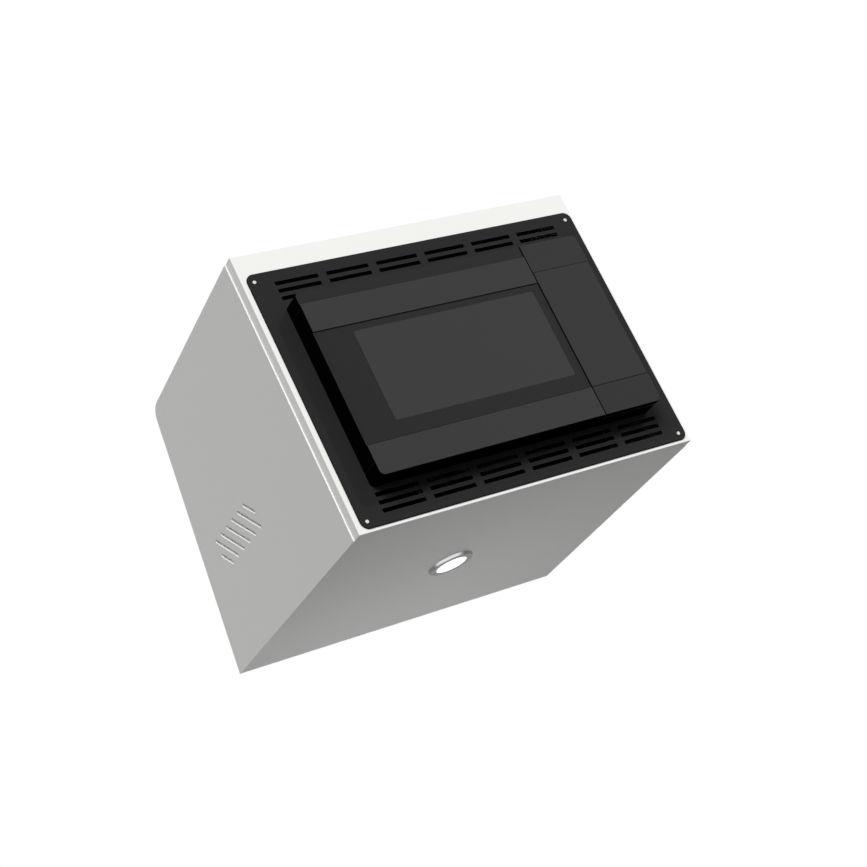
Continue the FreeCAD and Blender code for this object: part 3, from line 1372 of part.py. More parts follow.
upper_z = cavity_z1 - HEATER_FROM_WALL
lower_z = cavity_z0 + HEATER_FROM_WALL
pieces = {
    "front_panel": front_panel(),
    "floor_panel": floor_panel(),
    "roof_back_panel": roof_back_panel(),
    "left_side_panel": side_panel(-1),
    "right_side_panel": side_panel(1),
    "vent_filters": vent_filters(),
    "wall_doublers": wall_doublers(),
    "mains_gland": mains_gland(),
    "gland_nut": gland_nut(),
    "trim_frame": trim_frame(),
    "trim_screws": trim_screws(),
    "face_plate": face_plate(),
    "upper_hinge": upper_hinge(),
    "lower_hinge": mirrored_up(upper_hinge()),
    "hinge_pins": Part.makeCompound([upper_hinge_pin(), mirrored_up(upper_hinge_pin())]),
    "hinge_screws": Part.makeCompound(upper_hinge_screws() + [mirrored_up(s) for s in upper_hinge_screws()]),
    "cavity_liner": cavity_liner(),
    "insulation_jacket": insulation_jacket(),
    "chassis_tray": chassis_tray(),
    "support_rails": support_rails(),
    "upper_heaters": heaters(upper_z),
    "lower_heaters": heaters(lower_z),
    "heater_caps": heater_caps(),
    "rack_runners": rack_runners(),
    "board_rack": board_rack(),
    "thermocouple": thermocouple(),
    "fan_cover": fan_cover(),
    "convection_wheel": convection_wheel(),
    "fan_shaft": fan_shaft(),
    "motor_bracket": motor_bracket(),
    "fan_motor": fan_motor(),
    "cooling_fan_frame": cooling_fan_frame(),
    "cooling_fan_rotor": cooling_fan_rotor(),
    "power_board": power_board(),
    "heat_sink": heat_sink(),
    "terminal_block": terminal_block(),
    "door_switch": door_switch(),
    "control_fascia": control_fascia(),
    "display_window": display_window(),
    "keypad_membrane": keypad_membrane(),
    "control_board": control_board(),
    "display_module": display_module(),
    "release_button": release_button(),
    "release_slider": release_slider(),
    "button_spring": button_spring(),
    "door_shell": door_shell(),
    "upper_band": upper_band(),
    "lower_band": lower_band(),
    "outer_glass": glass_pane(0),
    "inner_glass": inner_glass(),
    "door_inner_panel": door_inner_panel(),
    "door_gasket": door_gasket(),
    "hinge_bushes": Part.makeCompound([upper_hinge_bush(), mirrored_up(upper_hinge_bush())]),
    "latch_bar": latch_bar(),
    "latch_spring": latch_spring(),
    "lamp_bezel": lamp_bezel(),
    "lamp_lens": lamp_lens(),
    "lamp_body": lamp_body(),
}

os.makedirs("parts", exist_ok=True)
for name, shape in pieces.items():
    placed = shape.copy()
    placed.translate(-ORIGIN)
    placed.exportStep("parts/" + name + ".step")
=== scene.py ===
import bpy
import math
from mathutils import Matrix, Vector


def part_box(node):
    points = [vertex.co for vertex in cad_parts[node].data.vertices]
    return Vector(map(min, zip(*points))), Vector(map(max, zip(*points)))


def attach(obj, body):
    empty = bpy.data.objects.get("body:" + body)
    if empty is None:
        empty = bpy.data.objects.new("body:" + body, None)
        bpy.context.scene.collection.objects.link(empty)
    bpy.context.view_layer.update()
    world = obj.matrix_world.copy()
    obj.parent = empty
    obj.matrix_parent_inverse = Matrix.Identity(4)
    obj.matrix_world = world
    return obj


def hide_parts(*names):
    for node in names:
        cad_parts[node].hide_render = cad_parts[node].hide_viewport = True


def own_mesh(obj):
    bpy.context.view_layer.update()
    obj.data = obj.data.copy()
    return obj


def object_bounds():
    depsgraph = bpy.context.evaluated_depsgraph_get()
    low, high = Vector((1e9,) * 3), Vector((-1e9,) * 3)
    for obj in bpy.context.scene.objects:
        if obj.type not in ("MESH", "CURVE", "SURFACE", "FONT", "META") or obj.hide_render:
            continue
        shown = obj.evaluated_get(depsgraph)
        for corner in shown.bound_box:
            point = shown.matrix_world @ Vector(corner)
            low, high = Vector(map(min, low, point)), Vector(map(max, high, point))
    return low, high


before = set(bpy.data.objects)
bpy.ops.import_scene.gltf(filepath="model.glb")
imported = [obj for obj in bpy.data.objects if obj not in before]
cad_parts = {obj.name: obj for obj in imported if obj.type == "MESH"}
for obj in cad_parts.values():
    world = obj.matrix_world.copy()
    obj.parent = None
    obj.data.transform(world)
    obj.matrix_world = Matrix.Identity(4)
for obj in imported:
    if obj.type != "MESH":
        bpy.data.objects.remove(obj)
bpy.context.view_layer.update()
bpy.ops.object.select_all(action="DESELECT")


# Housing: front, floor, side panels and the folded roof and back.
# Mild steel sheet, primed, folded and welded, then powder coated outside. The front is a shade whiter than
# the rest, and the coat is satin, with the orange peel and faint clouds that powder leaves when it melts.
class Tone:
    """A value in a finish's node tree. Arithmetic adds Math nodes, and node() adds any other node."""

    def __init__(self, tree, socket=None):
        self.tree = tree
        self.socket = socket

    def node(self, kind, settings, values, out=0):
        made = self.tree.nodes.new(kind)
        for name, value in settings.items():
            setattr(made, name, value)
        for key, value in values.items():
            if isinstance(value, Tone):
                self.tree.links.new(value.socket, made.inputs[key])
            else:
                made.inputs[key].default_value = value
        return Tone(self.tree, made.outputs[out])

    def math(self, operation, first, second):
        return self.node("ShaderNodeMath", {"operation": operation}, {0: first, 1: second})

    def __add__(self, other):
        return self.math("ADD", self, other)

    def __sub__(self, other):
        return self.math("SUBTRACT", self, other)

    def __rsub__(self, other):
        return self.math("SUBTRACT", other, self)

    def __mul__(self, other):
        return self.math("MULTIPLY", self, other)

    def __abs__(self):
        return self.math("ABSOLUTE", self, 0)

    __radd__ = __add__
    __rmul__ = __mul__

    def above(self, limit):
        return self.math("GREATER_THAN", self, limit)

    def below(self, limit):
        return self.math("LESS_THAN", self, limit)

    def into(self, shader, name):
        self.tree.links.new(self.socket, shader.inputs[name])


def new_finish(name, colour, roughness, metallic=0.0, specular=0.5):
    """A material with its plain values set, its shader, and the piece's own coordinates."""
    material = bpy.data.materials.new(name)
    material.use_nodes = True
    shader = material.node_tree.nodes["Principled BSDF"]
    shader.inputs["Base Color"].default_value = (*colour, 1)
    shader.inputs["Roughness"].default_value = roughness
    shader.inputs["Metallic"].default_value = metallic
    shader.inputs["Specular IOR Level"].default_value = specular
    here = Tone(material.node_tree).node("ShaderNodeTexCoord", {}, {}, "Object")
    return material, shader, here


def speckle(where, scale, detail=2.0):
    """Soft random grain of about 1 / scale metres."""
    return where.node("ShaderNodeTexNoise", {}, {"Vector": where, "Scale": scale, "Detail": detail}, "Fac")


def vector_maths(operation, first, second, out="Vector"):
    """A product, difference, dot product or length of vectors."""
    return first.node("ShaderNodeVectorMath", {"operation": operation}, {0: first, 1: second}, out)


def part_along(vector, axis):
    """The part of a vector along X, Y or Z."""
    return vector.node("ShaderNodeSeparateXYZ", {}, {0: vector}, axis)


def facing_way(here):
    """The way the surface faces, in the piece's own frame."""
    return here.node("ShaderNodeTexCoord", {}, {}, "Normal")


def blend_colours(share, first, second):
    """A colour between two by the share given."""
    return share.node("ShaderNodeMix", {"data_type": "RGBA"}, {0: share, 6: (*first, 1), 7: (*second, 1)}, 2)


def emboss(height, shader, depth):
    """Raises the surface by height times depth, in metres."""
    bump = height.node("ShaderNodeBump", {}, {"Strength": 1.0, "Distance": depth, "Height": height}, "Normal")
    bump.into(shader, "Normal")


def dress(mesh, material):
    """Gives the mesh this finish alone."""
    mesh.materials.clear()
    mesh.materials.append(material)


def coat(material, *names):
    """Gives the solids of these names the finish."""
    for name in names:
        dress(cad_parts[name].data, material)


FRONT_WHITE = (0.9, 0.9, 0.878)
HOUSING_WHITE = (0.8, 0.8, 0.785)
# Painted highlight: the vents' slanted walls are painted whiter to stand for the light that falls into them.
VENT_WALL_PAINTED_LIGHT = (0.95, 0.95, 0.93)
# Painted shade: inward faces are near black as primer, which also darkens what shows of the inside through
# slots and holes.
PRIMER_AND_SHADE_BLACK = (0.012, 0.012, 0.012)
CLOUD_SHADE = 0.965
CLOUD_SCALE = 9.0
PEEL_SCALE = 620.0
PEEL_DEPTH = 0.00003
POWDER_SMOOTH = 0.38
CLOUD_ROUGH = 0.1
PEEL_ROUGH = 0.1
HOUSING_MIDDLE = (0.0, -0.2, 0.0)
VENT_TURN = 0.9


def white_powder(name, white):
    """Satin white powder coat: faint clouds in its tone, and orange peel in its gloss and relief."""
    material, shader, here = new_finish(name, white, roughness=0.46)
    cloud = speckle(here, CLOUD_SCALE, detail=3.0)
    tone = blend_colours(cloud, [part * CLOUD_SHADE for part in white], white)
    tone.into(shader, "Base Color")
    peel = speckle(here, PEEL_SCALE)
    (POWDER_SMOOTH + CLOUD_ROUGH * cloud + PEEL_ROUGH * peel).into(shader, "Roughness")
    emboss(peel, shader, PEEL_DEPTH)
    return material, shader, here, tone


def two_toned(tone, share, second, shader):
    """Takes the base colour from tone to a second colour by the share given."""
    mixed = share.node("ShaderNodeMix", {"data_type": "RGBA"}, {0: share, 6: tone, 7: (*second, 1)}, 2)
    mixed.into(shader, "Base Color")


def primed_and_shaded_inside(name, white):
    """Powder on the outside only: what faces the middle of the housing is left in near-black primer, which is
    also painted shade where the inside shows through openings.
    """
    material, shader, here, tone = white_powder(name, white)
    outward = vector_maths("SUBTRACT", here, HOUSING_MIDDLE)
    turned_out = vector_maths("DOT_PRODUCT", facing_way(here), outward, "Value")
    two_toned(tone, turned_out.below(0), PRIMER_AND_SHADE_BLACK, shader)
    return material


def side_with_painted_vent_light(name, white):
    """Side sheets: the slanted walls of their vents are painted whiter than the flat sheet, a painted
    highlight for the light that falls into the slots.
    """
    material, shader, here, tone = white_powder(name, white)
    sideways = part_along(facing_way(here), "X")
    two_toned(tone, abs(sideways).below(VENT_TURN), VENT_WALL_PAINTED_LIGHT, shader)
    return material


housing_coat = primed_and_shaded_inside("white_housing_coat", HOUSING_WHITE)
coat(primed_and_shaded_inside("white_front_coat", FRONT_WHITE), "front_panel")
coat(housing_coat, "floor_panel", "roof_back_panel")
coat(side_with_painted_vent_light("white_side_coat", HOUSING_WHITE), "left_side_panel", "right_side_panel")


# Brackets and carriers inside the housing: wall doublers, tray and motor bracket in zinc-coated sheet, and
# the support rails and hinges in black dip-coated steel. The zinc freezes into broad flat crystals of grey.
ZINC = (0.42, 0.43, 0.44)
ZINC_LIGHT = (0.56, 0.57, 0.58)
SPANGLE_SCALE = 110.0


def rough_between(share, shader, smooth, rough):
    """Takes the roughness from smooth to rough by the share given."""
    (smooth + (rough - smooth) * share).into(shader, "Roughness")


def stretched(where, x=1.0, y=1.0, z=1.0):
    """Coordinates drawn out so that grain runs along the axis with the small factor."""
    return vector_maths("MULTIPLY", where, (x, y, z))


galvanised, shader, here = new_finish("galvanised_sheet", ZINC, roughness=0.42, metallic=1.0)
spangle = here.node("ShaderNodeTexVoronoi", {}, {"Vector": here, "Scale": SPANGLE_SCALE}, "Color")
crystal = spangle.node("ShaderNodeSeparateColor", {}, {0: spangle}, "Red")
blend_colours(crystal, ZINC, ZINC_LIGHT).into(shader, "Base Color")
rough_between(crystal, shader, smooth=0.32, rough=0.54)
coat(galvanised, "wall_doublers", "chassis_tray", "motor_bracket")

DIP_COAT = (0.004, 0.004, 0.004)

dip_coat, shader, here = new_finish("black_dip_coat", DIP_COAT, roughness=0.5, specular=0.1)
runs = speckle(stretched(here, z=0.2), scale=240.0, detail=3.0)
rough_between(runs, shader, smooth=0.42, rough=0.58)
emboss(runs, shader, depth=0.00002)
coat(dip_coat, "support_rails", "upper_hinge", "lower_hinge")


# Dust filters behind the side vents.
# Needled polyester felt pads, white, with a loose fibre surface.
FELT = (0.9, 0.9, 0.89)
FELT_DARK = (0.74, 0.74, 0.73)

felt, shader, here = new_finish("filter_felt", FELT, roughness=0.95, specular=0.1)
fibre = speckle(stretched(here, y=0.35), scale=2200.0, detail=4.0)
blend_colours(fibre, FELT_DARK, FELT).into(shader, "Base Color")
emboss(fibre, shader, depth=0.0004)
coat(felt, "vent_filters")


# Cable gland and its nut, low on the right side, with the cooling fan, the door switch and the slider.
# Moulded black nylon, slightly grained, with a matt skin.
NYLON = (0.014, 0.014, 0.015)

nylon, shader, here = new_finish("black_nylon", NYLON, roughness=0.55, specular=0.35)
grain = speckle(here, scale=1500.0)
rough_between(grain, shader, smooth=0.48, rough=0.64)
emboss(grain, shader, depth=0.00002)
coat(nylon, "mains_gland", "gland_nut", "cooling_fan_frame", "cooling_fan_rotor", "door_switch",
     "release_slider")


# Oven cavity: liner, face, rack runners, fan cover and wheel, thermocouple and the door's inner panel.
# Stainless sheet with a fine brushed grain that runs from front to back.
STEEL = (0.5, 0.495, 0.485)
STEEL_LIGHT = (0.62, 0.615, 0.6)
GRAIN_DEPTH = 0.000012
STEEL_SMOOTH = 0.2
BRUSH_ROUGH = 0.14
SMUDGE_ROUGH = 0.1

stainless, shader, here = new_finish("brushed_stainless", STEEL, roughness=0.3, metallic=1.0)
brushing = speckle(stretched(here, y=0.018), scale=1900.0, detail=3.0)
smudge = speckle(here, scale=14.0, detail=3.0)
blend_colours(brushing, STEEL, STEEL_LIGHT).into(shader, "Base Color")
(STEEL_SMOOTH + BRUSH_ROUGH * brushing + SMUDGE_ROUGH * smudge).into(shader, "Roughness")
emboss(brushing, shader, GRAIN_DEPTH)
coat(stainless, "cavity_liner", "face_plate", "rack_runners", "fan_cover", "convection_wheel", "thermocouple",
     "door_inner_panel")


# Insulation jacket round the liner.
# Pressed ceramic fibre board, off-white and chalky.
FIBRE = (0.66, 0.63, 0.55)
FIBRE_PALE = (0.74, 0.72, 0.65)

board, shader, here = new_finish("ceramic_fibre_board", FIBRE, roughness=0.95, specular=0.1)
flock = speckle(here, scale=700.0, detail=5.0)
blend_colours(flock, FIBRE, FIBRE_PALE).into(shader, "Base Color")
emboss(flock, shader, depth=0.0003)
coat(board, "insulation_jacket")


# Infrared heaters: clouded quartz tubes across the cavity, with a coiled wire in each, held in ceramic caps.
# The coil is resistance wire wound on a mandrel. One winding is made and copied into each tube.
QUARTZ = (0.72, 0.68, 0.62)
TUBE_ALPHA = 0.14
VEIL_ALPHA = 0.16
WIRE = (0.16, 0.12, 0.1)
CERAMIC = (0.7, 0.67, 0.6)
CERAMIC_SPOT = (0.6, 0.56, 0.48)
COIL_R = 0.003
COIL_WIRE_R = 0.0006
COIL_PITCH = 0.006
COIL_STEPS = 12
WIRE_SIDES = 6
CAP_REACH = 0.012

quartz, shader, here = new_finish("clouded_quartz", QUARTZ, roughness=0.18)
veil = speckle(stretched(here, x=0.1), scale=500.0, detail=3.0)
(TUBE_ALPHA + VEIL_ALPHA * veil).into(shader, "Alpha")
coat(quartz, "upper_heaters", "lower_heaters")

ceramic, shader, here = new_finish("unglazed_ceramic", CERAMIC, roughness=0.8, specular=0.3)
spot = speckle(here, scale=900.0, detail=4.0)
blend_colours(spot, CERAMIC, CERAMIC_SPOT).into(shader, "Base Color")
emboss(spot, shader, depth=0.00005)
coat(ceramic, "heater_caps")

heating_wire, shader, here = new_finish("oxidised_wire", WIRE, roughness=0.5, metallic=1.0)
oxide = speckle(here, scale=1200.0)
rough_between(oxide, shader, smooth=0.4, rough=0.7)


def pick(piece):
    """Selects this piece alone."""
    bpy.ops.object.select_all(action="DESELECT")
    piece.select_set(True)
    bpy.context.view_layer.objects.active = piece


def drop_in_place(piece):
    """Leaves the piece at the origin, with its place in its mesh."""
    pick(piece)
    bpy.ops.object.transform_apply(location=True, rotation=True, scale=True)


def copied(piece, name):
    """A copy of the piece with a mesh of its own."""
    pick(piece)
    bpy.ops.object.duplicate(linked=False)
    bpy.context.object.name = name
    return bpy.context.object


def joined(pieces, name):
    """One piece from several."""
    bpy.ops.object.select_all(action="DESELECT")
    for piece in pieces:
        piece.select_set(True)
    bpy.context.view_layer.objects.active = pieces[0]
    bpy.ops.object.join()
    whole = bpy.context.object
    whole.name = name
    bpy.ops.object.select_all(action="DESELECT")
    return whole


low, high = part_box("upper_heaters")
coil_turns = int((high.x - low.x - 2 * CAP_REACH) / COIL_PITCH)
bpy.ops.object.select_all(action="DESELECT")
bpy.ops.mesh.primitive_circle_add(vertices=WIRE_SIDES, radius=COIL_WIRE_R, rotation=(math.pi / 2, 0, 0),
                                  location=(0, 0, COIL_R))
coil = bpy.context.object
drop_in_place(coil)
winding = coil.modifiers.new("winding", "SCREW")
winding.axis = "X"
winding.screw_offset = COIL_PITCH
winding.iterations = coil_turns
winding.steps = COIL_STEPS
winding.render_steps = COIL_STEPS
winding.use_merge_vertices = False
bpy.ops.object.modifier_apply(modifier="winding")
bpy.ops.object.mode_set(mode="EDIT")
bpy.ops.mesh.select_all(action="SELECT")
bpy.ops.mesh.normals_make_consistent(inside=False)
bpy.ops.object.mode_set(mode="OBJECT")
bpy.ops.object.shade_smooth()

tube_places = []
for name in ("upper_heaters", "lower_heaters"):
    low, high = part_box(name)
    middle = (low + high) / 2
    tube_r = (high.z - low.z) / 2
    tube_places += [(y, middle.z) for y in (low.y + tube_r, middle.y, high.y - tube_r)]
coils = [coil] + [copied(coil, "heater_coil" + str(i)) for i in range(1, len(tube_places))]
for piece, (y, z) in zip(coils, tube_places):
    piece.location = (middle.x - coil_turns * COIL_PITCH / 2, y, z)
    drop_in_place(piece)
coils = joined(coils, "heater_coils")
dress(coils.data, heating_wire)
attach(coils, "oven")


# Wire rack that the boards lie on.
# Welded steel wire, nickel plated, slightly yellowed by heat.
NICKEL = (0.6, 0.585, 0.55)
NICKEL_WARM = (0.58, 0.52, 0.43)

plated, shader, here = new_finish("plated_wire", NICKEL, roughness=0.2, metallic=1.0)
warmth = speckle(here, scale=30.0)
blend_colours(warmth, NICKEL, NICKEL_WARM).into(shader, "Base Color")
rough_between(warmth, shader, smooth=0.14, rough=0.3)
coat(plated, "board_rack")


# Motor, shaft, hinge pins and latch: ground, rolled or oiled plain steel.
# The motor's can is painted black, the rest is bare with a thin film of oil.
GROUND_STEEL = (0.42, 0.42, 0.425)
OILED_STEEL = (0.26, 0.26, 0.27)
MOTOR_PAINT = (0.03, 0.03, 0.032)

bare_steel, shader, here = new_finish("oiled_steel", GROUND_STEEL, roughness=0.35, metallic=1.0)
film = speckle(here, scale=160.0, detail=3.0)
blend_colours(film, OILED_STEEL, GROUND_STEEL).into(shader, "Base Color")
rough_between(film, shader, smooth=0.26, rough=0.46)
coat(bare_steel, "fan_shaft", "hinge_pins", "latch_bar")

motor_paint, shader, here = new_finish("motor_paint", MOTOR_PAINT, roughness=0.4)
dust = speckle(here, scale=240.0, detail=3.0)
rough_between(dust, shader, smooth=0.34, rough=0.54)
coat(motor_paint, "fan_motor")


# Springs: a folded strip in the door that pushes the latch down, and a bowed leaf behind the release button.
# Spring steel strip, bent in a press tool and blued by heat. Both flatten as the button goes in.
BLUED = (0.075, 0.09, 0.14)
STRAW = (0.3, 0.22, 0.12)
MERGE_WITHIN = 0.000001

blued, shader, here = new_finish("blued_spring_steel", BLUED, roughness=0.3, metallic=1.0)
temper = speckle(here, scale=180.0)
blend_colours(temper * temper, BLUED, STRAW).into(shader, "Base Color")
rough_between(temper, shader, smooth=0.22, rough=0.38)


def flexing_copy(node, name, body):
    """The spring's own shape as one closed skin, in place of the stiff one."""
    spring = bpy.data.objects.new(name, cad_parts[node].data.copy())
    bpy.context.collection.objects.link(spring)
    pick(spring)
    bpy.ops.object.mode_set(mode="EDIT")
    bpy.ops.mesh.select_all(action="SELECT")
    bpy.ops.mesh.remove_doubles(threshold=MERGE_WITHIN)
    bpy.ops.object.mode_set(mode="OBJECT")
    dress(spring.data, blued)
    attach(spring, body)
    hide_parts(node)
    return spring


low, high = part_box("latch_spring")
strip = flexing_copy("latch_spring", "latch_spring_strip", "door")
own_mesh(strip)
low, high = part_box("button_spring")
leaf = flexing_copy("button_spring", "button_spring_leaf", "oven")
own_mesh(leaf)


# Electronics in the bay and behind the fascia: boards, heat sink, terminal block and read-out.
# Lacquered glass-fibre boards, an extruded aluminium sink and grey moulded terminals.
LACQUER = (0.012, 0.12, 0.045)
LACQUER_TRACK = (0.03, 0.2, 0.08)
EXTRUSION = (0.52, 0.53, 0.54)
GREY_MOULDING = (0.3, 0.31, 0.32)
READOUT = (0.01, 0.014, 0.016)

lacquer, shader, here = new_finish("board_lacquer", LACQUER, roughness=0.3)
tracks = here.node("ShaderNodeTexBrick", {}, {"Vector": here, "Scale": 160.0, "Mortar Size": 0.12}, "Fac")
blend_colours(tracks, LACQUER, LACQUER_TRACK).into(shader, "Base Color")
coat(lacquer, "power_board", "control_board")

extrusion, shader, here = new_finish("extruded_aluminium", EXTRUSION, roughness=0.36, metallic=1.0)
die_lines = speckle(stretched(here, y=0.02), scale=1400.0)
rough_between(die_lines, shader, smooth=0.28, rough=0.46)
coat(extrusion, "heat_sink", "lamp_body")

grey_moulding, shader, here = new_finish("grey_moulding", GREY_MOULDING, roughness=0.5)
skin = speckle(here, scale=1300.0)
rough_between(skin, shader, smooth=0.44, rough=0.58)
coat(grey_moulding, "terminal_block")

readout, shader, here = new_finish("unlit_readout", READOUT, roughness=0.15)
panel_haze = speckle(here, scale=60.0)
rough_between(panel_haze, shader, smooth=0.1, rough=0.2)
coat(readout, "display_module")


# Lamp in the underside: a turned ring, an opal lens and a finned body above.
# The ring is turned from bar, with the tool's grain round it, and lacquered satin grey. Its flank carries a
# silver metal layer that shows face on and fades aslant, a painted highlight on the flank's middle. The lens
# is frosted and lit from behind.
RING = (0.29, 0.29, 0.29)
RING_LIGHT = (0.35, 0.35, 0.35)
FLANK_HIGHLIGHT_SILVER = (0.95, 0.95, 0.94)
FLANK_TURN = 0.5
HIGHLIGHT_FADE_FROM = 0.7
HIGHLIGHT_FULL_AT = 0.93
LATHE_SCALE = 4000.0
OPAL = (0.95, 0.95, 0.94)
LAMP_GLOW = (1.0, 1.0, 0.99)


def plain_layer(here, colour, roughness, metallic=0.0, specular=0.5):
    """A second layer in a finish, of one colour."""
    return here.node("ShaderNodeBsdfPrincipled", {}, {"Base Color": (*colour, 1), "Roughness": roughness,
                                                      "Metallic": metallic, "Specular IOR Level": specular})


def layered(share, under, over):
    """Shows the layer over the one under it by the share given."""
    mixed = share.node("ShaderNodeMixShader", {}, {0: share, 1: under, 2: over})
    mixed.into(share.tree.nodes["Material Output"], "Surface")


ring_low, ring_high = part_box("lamp_bezel")
ring_centre = (ring_low + ring_high) / 2
turned, shader, here = new_finish("turned_ring", RING, roughness=0.38, metallic=0.25)
from_axis = vector_maths("SUBTRACT", stretched(here, z=0.0), (ring_centre.x, ring_centre.y, 0))
radius = vector_maths("LENGTH", from_axis, (0, 0, 0), "Value")
lathe_lines = radius.node("ShaderNodeTexNoise", {"noise_dimensions": "1D"},
                          {"W": radius, "Scale": LATHE_SCALE}, "Fac")
outward = vector_maths("DOT_PRODUCT", facing_way(here), from_axis, "Value")
aslant = here.node("ShaderNodeLayerWeight", {}, {"Blend": 0.5}, "Facing")
painted_highlight_share = here.node("ShaderNodeMapRange", {"interpolation_type": "SMOOTHSTEP"},
                   {"Value": 1.0 - aslant, "From Min": HIGHLIGHT_FADE_FROM, "From Max": HIGHLIGHT_FULL_AT})
flank = (outward - FLANK_TURN * radius).above(0)
blend_colours(lathe_lines, RING, RING_LIGHT).into(shader, "Base Color")
rough_between(lathe_lines, shader, smooth=0.3, rough=0.5)
painted_highlight_layer = plain_layer(here, FLANK_HIGHLIGHT_SILVER, roughness=0.25, metallic=1.0)
# Painted highlight: the silver layer shows only face on, so the flank's middle is bright and its ends dull.
layered(flank * painted_highlight_share, Tone(here.tree, shader.outputs[0]), painted_highlight_layer)
coat(turned, "lamp_bezel")

opal, shader, here = new_finish("lit_opal", OPAL, roughness=0.4)
frost = speckle(here, scale=1800.0)
rough_between(frost, shader, smooth=0.34, rough=0.5)
shader.inputs["Emission Color"].default_value = (*LAMP_GLOW, 1)
shader.inputs["Emission Strength"].default_value = 1.0
coat(opal, "lamp_lens")


# Trim frame round the door: punched sheet with rows of vents.
# Its face is powder coated black with a fine matt texture; its punched edges and the walls of its vents are
# painted a deeper black as painted shade.
FRAME_FACE = (0.0235, 0.0235, 0.0238)
FRAME_GLOSS = 0.05
# Painted shade: every face that does not face the front is painted near black, for the shade on walls, edges
# and vent slots.
PAINTED_SHADE_BLACK = (0.0012, 0.0012, 0.0012)
PAINTED_SHADE_GLOSS = 0.0
FRONT_TURN = 0.8
GRAIN_SHADE = 0.1
GRAIN_ROUGH = 0.07


def black_with_painted_shade_sides(name, face, gloss, roughness, scale, depth):
    """Dark grey coat on what faces the front in the piece's own frame; every other face is painted near black
    as painted shade.
    """
    material, shader, here = new_finish(name, face, roughness, specular=gloss)
    grain = speckle(here, scale, detail=3.0)
    darker = [part * (1 - GRAIN_SHADE) for part in face]
    lighter = [part * (1 + GRAIN_SHADE) for part in face]
    blend_colours(grain, darker, lighter).into(shader, "Base Color")
    rough_between(grain, shader, smooth=roughness - GRAIN_ROUGH, rough=roughness + GRAIN_ROUGH)
    emboss(grain, shader, depth)
    forward = part_along(facing_way(here), "Y")
    painted_shade = plain_layer(here, PAINTED_SHADE_BLACK, roughness, specular=PAINTED_SHADE_GLOSS)
    layered(forward.below(-FRONT_TURN), painted_shade, Tone(here.tree, shader.outputs[0]))
    return material


coat(black_with_painted_shade_sides("black_powder_coat", FRAME_FACE, FRAME_GLOSS, roughness=0.6, scale=1100.0, depth=0.00003),
     "trim_frame")


# Screws: at the frame's corners, in the hinge leaves, round the fan cover and on the door's inner panel.
# Zinc-plated pan heads with a cross recess, cold formed. One head of each size is made and copied.
ZINC_PLATE = (0.92, 0.92, 0.91)
ZINC_PLATE_DULL = (0.8, 0.8, 0.785)
ROLL_SHARE = 0.6
RECESS_SHARE = 0.3
RECESS_LENGTH = 1.25
SCREW_TURN_DEG = 23
HEAD_SIDES = 40
ROLL_STEPS = 5
CREASE_DEG = 40

zinc_plate, shader, here = new_finish("zinc_plate", ZINC_PLATE, roughness=0.3, metallic=0.85)
bloom = speckle(here, scale=500.0, detail=3.0)
blend_colours(bloom, ZINC_PLATE_DULL, ZINC_PLATE).into(shader, "Base Color")
rough_between(bloom, shader, smooth=0.2, rough=0.36)


def domed_head(radius, height, name):
    """Round head that stands up from the XY plane, with its upper edge rolled over."""
    bpy.ops.object.select_all(action="DESELECT")
    bpy.ops.mesh.primitive_cylinder_add(vertices=HEAD_SIDES, radius=radius, depth=height,
                                        location=(0, 0, height / 2))
    head = bpy.context.object
    head.name = name
    drop_in_place(head)
    bpy.ops.object.mode_set(mode="EDIT")
    bpy.ops.mesh.select_all(action="DESELECT")
    bpy.ops.object.mode_set(mode="OBJECT")
    for painted_shade in head.data.edges:
        ends = [head.data.vertices[i].co for i in painted_shade.vertices]
        painted_shade.select = all(end.z > height / 2 for end in ends)
    bpy.ops.object.mode_set(mode="EDIT")
    bpy.ops.mesh.select_mode(type="EDGE")
    bpy.ops.mesh.bevel(offset=height * ROLL_SHARE, segments=ROLL_STEPS, affect="EDGES")
    bpy.ops.object.mode_set(mode="OBJECT")
    return head


def cross_head(radius, height, name):
    """Pan head with a cross recess in its top."""
    head = domed_head(radius, height, name)
    arm = radius * RECESS_LENGTH
    width = radius * RECESS_SHARE
    for turn in (0, math.pi / 2):
        bpy.ops.object.select_all(action="DESELECT")
        bpy.ops.mesh.primitive_cube_add(size=1, location=(0, 0, height), rotation=(0, 0, turn))
        cutter = bpy.context.object
        cutter.scale = (arm, width, height)
        drop_in_place(cutter)
        pick(head)
        recess = head.modifiers.new("recess", "BOOLEAN")
        recess.operation = "DIFFERENCE"
        recess.solver = "EXACT"
        recess.object = cutter
        bpy.ops.object.modifier_apply(modifier="recess")
        bpy.data.objects.remove(cutter)
    bpy.ops.object.shade_smooth_by_angle(angle=math.radians(CREASE_DEG))
    return head


def screw_row(name, body, head_r, head_h, facing, seat_y, places):
    """Heads of one size on a seat at seat_y, that face the front for -1 or the rear for 1."""
    first = cross_head(head_r, head_h, name)
    heads = [first] + [copied(first, name + str(i)) for i in range(1, len(places))]
    for i, (head, (x, z)) in enumerate(zip(heads, places)):
        head.rotation_euler = (-facing * math.pi / 2, math.radians(SCREW_TURN_DEG * i), 0)
        head.location = (x, seat_y, z)
        drop_in_place(head)
    row = joined(heads, name)
    dress(row.data, zinc_plate)
    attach(row, body)
    return row


TRIM_HEAD_R = 0.0028
HEAD_H = 0.0018
low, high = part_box("trim_screws")
corners = [(x, z) for x in (low.x + TRIM_HEAD_R, high.x - TRIM_HEAD_R)
           for z in (low.z + TRIM_HEAD_R, high.z - TRIM_HEAD_R)]
row = screw_row("trim_screw_heads", "oven", TRIM_HEAD_R, HEAD_H, -1, low.y + HEAD_H, corners)
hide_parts("trim_screws")

